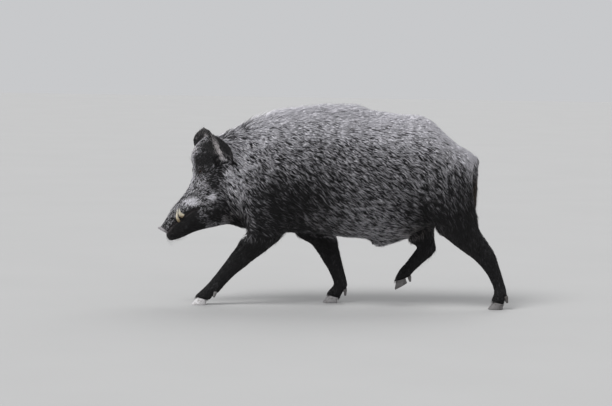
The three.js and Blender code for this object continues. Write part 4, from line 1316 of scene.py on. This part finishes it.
class BOAR_OT_bristles(bpy.types.Operator):
    """Stand single long hairs on the mane, belly, muzzle, brows, lids, ears and tail"""

    bl_idname = "boar.bristles"
    bl_label = "Bristles"

    def execute(self, context):
        settings = context.scene.boar_bristles
        random = np.random.default_rng(settings.seed)
        pelt = Pelt()
        tree, sockets = bristle_tree()
        material = bristle_material(context.scene.boar_coat)
        for kind, chance in bristle_fields(pelt).items():
            number, *shape, slot = BRISTLES[kind]
            whole = pelt.over_faces(chance).sum()
            face, weights = pelt.sown(random, chance * (number * settings.amount + 0.5) / whole)
            normal = unit(pelt.mixed(pelt.normals, face, weights))
            lie = along_skin(pelt.mixed(pelt.lie, face, weights), normal)
            root = pelt.mixed(pelt.points, face, weights) - normal * 1.0 * MM
            mark = pelt.mixed(pelt.mark, face, weights)
            self.stand(f"bristles_{kind}", slot, root, lie, normal, mark, pelt.uv_at(face, weights),
                       shape, random, (tree, sockets, material, settings))
        self.lashes(pelt, random, (tree, sockets, material, settings))
        bpy.data.node_groups.remove(tree)
        return {"FINISHED"}

    def lashes(self, pelt, random, tools):
        roots, ways, ups = [], [], []
        for name in ("eye_left", "eye_right"):
            eye = EyeFrame(name)
            angle = np.radians(np.linspace(14, 168, LASHES))
            length, upper, _ = LID_OPENING
            a, b = length * np.cos(angle), upper * np.sin(angle)
            opening, way = np.hypot(a, b) + math.radians(3), np.arctan2(b, a)
            out = eye.around(way)
            radial = out * np.sin(opening)[:, None] + eye.axis * np.cos(opening)[:, None]
            roots.append(eye.middle + radial * (EYE_RADIUS + 1.2 * MM))
            ways.append(unit(eye.axis - 0.35 * eye.brow + 0.5 * out))
            ups.append(np.tile(eye.brow, (LASHES, 1)))
        root, lie, up = (np.concatenate(rows) for rows in (roots, ways, ups))
        face = np.array([pelt.tree.find_nearest(p)[2] for p in root.tolist()])
        uv = pelt.uv_at(face, np.full((len(root), 3), 1 / 3))
        mark = np.zeros((len(root), 3))
        self.stand("bristles_lashes", "face_coat", root, lie, up, mark, uv, LASH_SHAPE, random, tools)

    def stand(self, name, slot, root, lie, up, mark, uv, shape, random, tools):
        length, thick, lift, sag = shape
        tree, sockets, material, settings = tools
        count = len(root)
        grow = lie + up * (lift * random.uniform(*HAIR_LIFTS, count))[:, None]
        grow = unit(grow + random.normal(size=(count, 3)) * STRAY)
        long = length * MM * random.uniform(*HAIR_LENGTHS, count)
        wide = thick / 2 * MM * random.uniform(*HAIR_WIDTHS, count)
        bend = (lie * 0.35 - up * 0.6 * lift + np.array([0, 0, -sag])) * long[:, None] * 0.6
        mark = mark.copy()
        mark[:, 2] = random.random(count)
        mesh = seeds(name, root, grow, bend, np.column_stack([wide, wide, long]), mark, uv)
        holder = link(bpy.data.objects.new(name, mesh))
        modifier = holder.modifiers.new("bristles", "NODES")
        modifier.node_group = tree
        inputs = {"Sides": HAIR_SIDES, "Joints": HAIR_JOINTS, "Seed": settings.seed, "Material": material}
        for title, value in inputs.items():
            modifier[sockets[title]] = value
        grown = bpy.data.meshes.new_from_object(holder.evaluated_get(bpy.context.evaluated_depsgraph_get()))
        holder.modifiers.clear()
        bpy.data.objects.remove(holder)
        bpy.data.meshes.remove(mesh)
        grown.name = name
        grown.shade_smooth()
        finish(grown, material, slot)


def bristle_material(settings):
    shader = Shader("bristle", Roughness=0.45, Specular_IOR_Level=0.4)
    along = shader.attribute("along")
    frost, brown, draw = shader.attributes("mark")
    tipped = ((frost * 1.1 - draw) / 0.12).clamped()
    pale = shader.mix(brown, rgba(settings.pale), rgba(settings.brown))
    colour = shader.mix(tipped * along.rise(0.25, 0.6), rgba(settings.dark), pale)
    return shader.feed(Base_Color=colour)


# ------------------------------------------------------------------ eyes

EYE_STEPS, EYE_ROWS = 48, 36
# Height and half angle of the cornea's dome, and how much smaller the ball is than its lids' inside.
CORNEA_HIGH, CORNEA_WIDE, EYE_LESS = 0.07, 0.55, 0.02


class BOAR_OT_eyes(bpy.types.Operator):
    """Set a wet, dark eye with a domed cornea between each pair of lids"""

    bl_idname = "boar.eyes"
    bl_label = "Eyes"

    def execute(self, context):
        material = eye_material(context.scene.boar_horn)
        for name in ("eye_left", "eye_right"):
            eye = EyeFrame(name)
            theta = np.linspace(0, np.pi, EYE_ROWS + 1)[1:-1, None]
            turn = np.linspace(0, 2 * np.pi, EYE_STEPS, endpoint=False)[None]
            way = np.stack([np.sin(theta) * np.cos(turn), np.sin(theta) * np.sin(turn),
                            np.cos(theta) + 0 * turn], -1).reshape(-1, 3)
            way = np.concatenate([way, [[0, 0, 1], [0, 0, -1]]])
            off_axis = np.arccos(np.clip(way[:, 2], -1, 1))
            dome = EYE_RADIUS * (1 + CORNEA_HIGH * np.exp(-((off_axis / CORNEA_WIDE) ** 2)) - EYE_LESS)
            points = eye.middle + (way @ np.stack([eye.corner, eye.brow, eye.axis])) * dome[:, None]
            mesh = mesh_from(f"eye_ball_{name[4:]}", points, globe_faces(EYE_ROWS - 1, EYE_STEPS))
            if signed_volume(points, triangles_of(mesh)) < 0:
                mesh.flip_normals()
            write_attribute(mesh, "gaze", way)
            mesh.shade_smooth()
            finish(mesh, material, "eye", name)
        return {"FINISHED"}


def globe_faces(rings, steps):
    """Triangles over rows of points between two poles, which come last."""
    row, step = (grid.ravel() for grid in np.meshgrid(np.arange(rings - 1), np.arange(steps), indexing="ij"))
    ahead = (step + 1) % steps
    a, b, c, d = row * steps + step, row * steps + ahead, (row + 1) * steps + ahead, (row + 1) * steps + step
    first, last = np.arange(steps), (rings - 1) * steps + np.arange(steps)
    top, bottom = np.full(steps, rings * steps), np.full(steps, rings * steps + 1)
    return np.concatenate([
        np.stack([a, b, c], 1), np.stack([a, c, d], 1),
        np.stack([top, np.roll(first, -1), first], 1), np.stack([bottom, last, np.roll(last, -1)], 1),
    ])


def signed_volume(points, triangles):
    a, b, c = (points[triangles[:, i]] - points.mean(0) for i in range(3))
    return (a * np.cross(b, c)).sum() / 6


def eye_material(colours):
    shader = Shader("eye", Roughness=0.06, Specular_IOR_Level=0.4)
    along, up, _ = shader.attributes("gaze")
    across = (along * along + up * up) ** 0.5
    pupil = ((along / 0.30) ** 2.0 + (up / 0.21) ** 2.0) ** 0.5
    ray = shader.noise(shader.vector(along * 1.2, up * 1.2, 0.0), 9.0, 3.0)
    iris = shader.mix(ray, rgba(colours.iris, 0.45), rgba(colours.iris, 1.5))
    white = shader.mix(across.rise(0.62, 0.72), iris, rgba((0.03, 0.022, 0.02)))
    return shader.feed(Base_Color=shader.mix(pupil.rise(0.92, 1.08), rgba((0.002, 0.002, 0.002)), white))


# ------------------------------------------------------------------ horn and tusks

HOOF_GRAIN = 1.4 * MM
HORN = {"hoof": (2.4, 0.28), "dewclaw": (4.5, 0.1)}  # reach of the smoothing, and height of the rings, in mm
RING_GAP = 5.5 * MM
HIND_RIGHT_PITCH = math.radians(30)  # of the swinging foot, toe down
TUSK_GRAIN, TUSK_REACH = 0.8 * MM, 1.1 * MM
TUSK_ROOT = 13 * MM  # how far a tusk's root is moved into the lips
TUSK_TIP = np.array([4, 0, 12]) * MM  # how far its tip is moved
# How pale the horn of each foot is drawn: the near fore foot stays pale, the far fore foot is darkened as
# painted shade under the belly, and the hind feet are drawn dark.
FOOT_SHADE = {"foreleg_left": 1.0, "foreleg_right": 0.55, "hindleg_left": 0.22, "hindleg_right": 0.2}


def refined(title, node, grain, reach):
    """A smooth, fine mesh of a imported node."""
    mesh = modified(mesh_from(title, *welded(node)), "REMESH", mode="VOXEL", voxel_size=grain)
    net = Net(mesh, grain)
    net.points = net.spread(net.points, reach)
    return mesh, net


class BOAR_OT_hooves(bpy.types.Operator):
    """Round the hooves and dewclaws and give them growth rings"""

    bl_idname = "boar.hooves"
    bl_label = "Hooves"

    def execute(self, context):
        material = horn_material(context.scene.boar_horn)
        for leg in LEGS:
            pitch = HIND_RIGHT_PITCH if leg == "hindleg_right" else 0.0
            foot_up = np.array([-math.sin(pitch), 0, math.cos(pitch)])
            toe = np.array(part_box(f"{leg}_hoof_outer")[0])
            for kind, place in itertools.product(HORN, ("inner", "outer")):
                reach, high = HORN[kind]
                node = f"{leg}_{kind}_{place}"
                mesh, net = refined(f"horn_{node}", node, HOOF_GRAIN, reach * MM)
                level = (net.points - toe) @ foot_up
                ring = np.sin(level * 2 * np.pi / RING_GAP + 2 * np.sin(net.points[:, 1] * 160))
                side = eased(np.abs(net.normals() @ foot_up), 0.8, 0.4)
                net.points += net.normals() * (ring * side * high * MM)[:, None]
                net.points[:, 2] = np.maximum(net.points[:, 2], 0)
                place_points(mesh, net.points)
                write_attribute(mesh, "level", level / (40 * MM))
                write_attribute(mesh, "shade", np.full(len(level), FOOT_SHADE[leg]))
                mesh.shade_smooth()
                finish(mesh, material, "horn", node)
        return {"FINISHED"}


def horn_material(colours):
    shader = Shader("horn", Specular_IOR_Level=0.4)
    level = shader.attribute("level")
    place = shader.place()
    streak = shader.noise(shader.stretched(place, (1.0, 1.0, 0.16)), 340.0, 3.0)
    band = shader.noise(shader.vector(0.0, 0.0, level * 9.0), 1.0, 2.0)
    dirt = shader.noise(place, 70.0, 4.0, 0.65)
    colour = shader.mix(streak * 0.55 + band * 0.45, rgba(colours.hoof, 0.42), rgba(colours.hoof))
    colour = shader.mix(level.rise(0.62, 0.95) * 0.8, colour, rgba((0.05, 0.045, 0.042)))
    colour = shader.mix(dirt.rise(0.46, 0.70) * 0.65, colour, rgba((0.10, 0.085, 0.068)))
    # Painted shade: each foot's horn is darkened by its FOOT_SHADE value.
    colour = shader.mix(shader.attribute("shade"), rgba((0.045, 0.04, 0.038)), colour)
    return shader.feed(Base_Color=colour, Roughness=0.38 + dirt * 0.35,
                       Normal=shader.bump(streak + band, 0.45, 0.0006))


class BOAR_OT_tusks(bpy.types.Operator):
    """Round the tusks and stain them at the root"""

    bl_idname = "boar.tusks"
    bl_label = "Tusks"

    def execute(self, context):
        material = ivory_material(context.scene.boar_horn)
        full_turn = np.array([TURN_ENDS_X])
        for side, to_middle in (("left", 1.0), ("right", -1.0)):
            inwards = turned_with_neck(np.array([[0.25, to_middle, -0.35]]), full_turn)
            for jaw in ("lower", "upper"):
                node = f"tusk_{jaw}_{side}"
                mesh, net = refined(f"ivory_{node}", node, TUSK_GRAIN, TUSK_REACH)
                low, high = net.points[:, 2].min(), net.points[:, 2].max()
                level = (net.points[:, 2] - low) / (high - low)
                net.points += inwards * (TUSK_ROOT * eased(level, 0.32, 0.0) ** 1.5)[:, None]
                net.points += TUSK_TIP * eased(level, 0.2, 1.0)[:, None]
                place_points(mesh, net.points)
                write_attribute(mesh, "level", level)
                mesh.shade_smooth()
                finish(mesh, material, "tusk", node)
        return {"FINISHED"}


def ivory_material(colours):
    shader = Shader("ivory", Specular_IOR_Level=0.5)
    level = shader.attribute("level")
    place = shader.place()
    crack = shader.noise(shader.stretched(place, (1.0, 1.0, 0.12)), 700.0, 3.0)
    stain = shader.noise(place, 160.0, 3.0)
    colour = shader.mix(level.rise(0.1, 0.9), rgba(colours.ivory), rgba((0.80, 0.76, 0.66)))
    root = (1.0 - level).rise(0.55, 1.0) * 0.8 + stain.rise(0.55, 0.8) * 0.35
    colour = shader.mix(root.clamped(), colour, rgba((0.22, 0.13, 0.055)))
    colour = shader.mix(crack.rise(0.6, 0.75) * 0.5, colour, rgba((0.16, 0.11, 0.07)))
    return shader.feed(Base_Color=colour, Roughness=0.22 + stain * 0.25,
                       Normal=shader.bump(crack, 0.25, 0.0003))


# ------------------------------------------------------------------ stage

FLOOR_HALF = 30.0
# Where each light stands, seen from the animal, and how wide it looks there, in degrees.
LIGHTS = {"key": ((-0.42, -0.42, 0.80), 28), "rim": ((0.30, 0.62, 0.72), 45)}
ROOM_COLOUR = (0.80, 0.81, 0.83, 1)


class BOAR_OT_stage(bpy.types.Operator):
    """Set the floor, the soft lights and the camera"""

    bl_idname = "boar.stage"
    bl_label = "Stage"

    def execute(self, context):
        settings = context.scene.boar_stage
        corners = np.array([(-1, -1, 0), (1, -1, 0), (1, 1, 0), (-1, 1, 0)]) * FLOOR_HALF
        mesh = mesh_from("floor", corners, np.array([[0, 1, 2, 3]]))
        shader = Shader("floor", Roughness=0.9, Specular_IOR_Level=0.1)
        cloud = shader.noise(shader.place(), 1.5, 4.0)
        colour = shader.mix(cloud, rgba(settings.floor, 0.94), rgba(settings.floor))
        mesh.materials.append(shader.feed(Base_Color=colour))
        floor = link(bpy.data.objects.new("floor", mesh))
        for name, (place, spread) in LIGHTS.items():
            self.light(name, place, getattr(settings, name), spread)
        world = bpy.data.worlds.new("room")
        world.use_nodes = True
        air = world.node_tree.nodes["Background"].inputs
        air["Color"].default_value, air["Strength"].default_value = ROOM_COLOUR, settings.room
        context.scene.world = world
        context.scene.view_settings.view_transform = "Standard"
        self.camera(context.scene, settings)
        return {"FINISHED"}

    def light(self, name, place, strength, spread):
        """A wide, soft light that reaches the whole floor alike."""
        data = bpy.data.lights.new(name, "SUN")
        data.energy, data.angle = strength, math.radians(spread)
        lamp = link(bpy.data.objects.new(name, data))
        lamp.location = Vector(place) * 4
        lamp.rotation_euler = (-Vector(place)).to_track_quat("-Z", "Y").to_euler()

    def camera(self, scene, settings):
        data = bpy.data.cameras.new("camera")
        data.lens = data.sensor_width * settings.distance / settings.width
        camera = link(bpy.data.objects.new("camera", data))
        back = Vector((0, -math.cos(settings.elevation), math.sin(settings.elevation)))
        camera.location = Vector(settings.aim) + back * settings.distance
        look = (-back).to_track_quat("-Z", "Y").to_matrix().to_4x4()
        roll = look.copy().Rotation(settings.roll, 4, "Z")
        camera.rotation_euler = (look @ roll).to_euler()
        data.clip_end = 100
        scene.camera = camera


# ------------------------------------------------------------------ panel and registration


class BOAR_PT_panel(bpy.types.Panel):
    """Makes the boar piece by piece"""

    bl_idname = "BOAR_PT_panel"
    bl_label = "Wild Boar"
    bl_space_type = "VIEW_3D"
    bl_region_type = "UI"
    bl_category = "Boar"

    def draw(self, context):
        for operator, group in STEPS:
            box = self.layout.box()
            box.operator(operator.bl_idname)
            settings = getattr(context.scene, group)
            for name in settings.__annotations__:
                box.prop(settings, name)


STEPS = (
    (BOAR_OT_stage, "boar_stage"),
    (BOAR_OT_skin, "boar_skin"),
    (BOAR_OT_coat, "boar_coat"),
    (BOAR_OT_bristles, "boar_bristles"),
    (BOAR_OT_eyes, "boar_horn"),
    (BOAR_OT_hooves, "boar_horn"),
    (BOAR_OT_tusks, "boar_horn"),
)
GROUPS = {
    "boar_skin": BOAR_PG_skin, "boar_coat": BOAR_PG_coat, "boar_bristles": BOAR_PG_bristles,
    "boar_horn": BOAR_PG_horn, "boar_stage": BOAR_PG_stage,
}


def register():
    for name, group in GROUPS.items():
        bpy.utils.register_class(group)
        setattr(bpy.types.Scene, name, bpy.props.PointerProperty(type=group))
    for operator, _ in STEPS:
        bpy.utils.register_class(operator)
    bpy.utils.register_class(BOAR_PT_panel)


def unregister():
    bpy.utils.unregister_class(BOAR_PT_panel)
    for operator, _ in reversed(STEPS):
        bpy.utils.unregister_class(operator)
    for name, group in GROUPS.items():
        delattr(bpy.types.Scene, name)
        bpy.utils.unregister_class(group)


def main():
    register()
    for operator, _ in STEPS:
        family, name = operator.bl_idname.split(".")
        getattr(getattr(bpy.ops, family), name)()


if __name__ == "__main__":
    main()
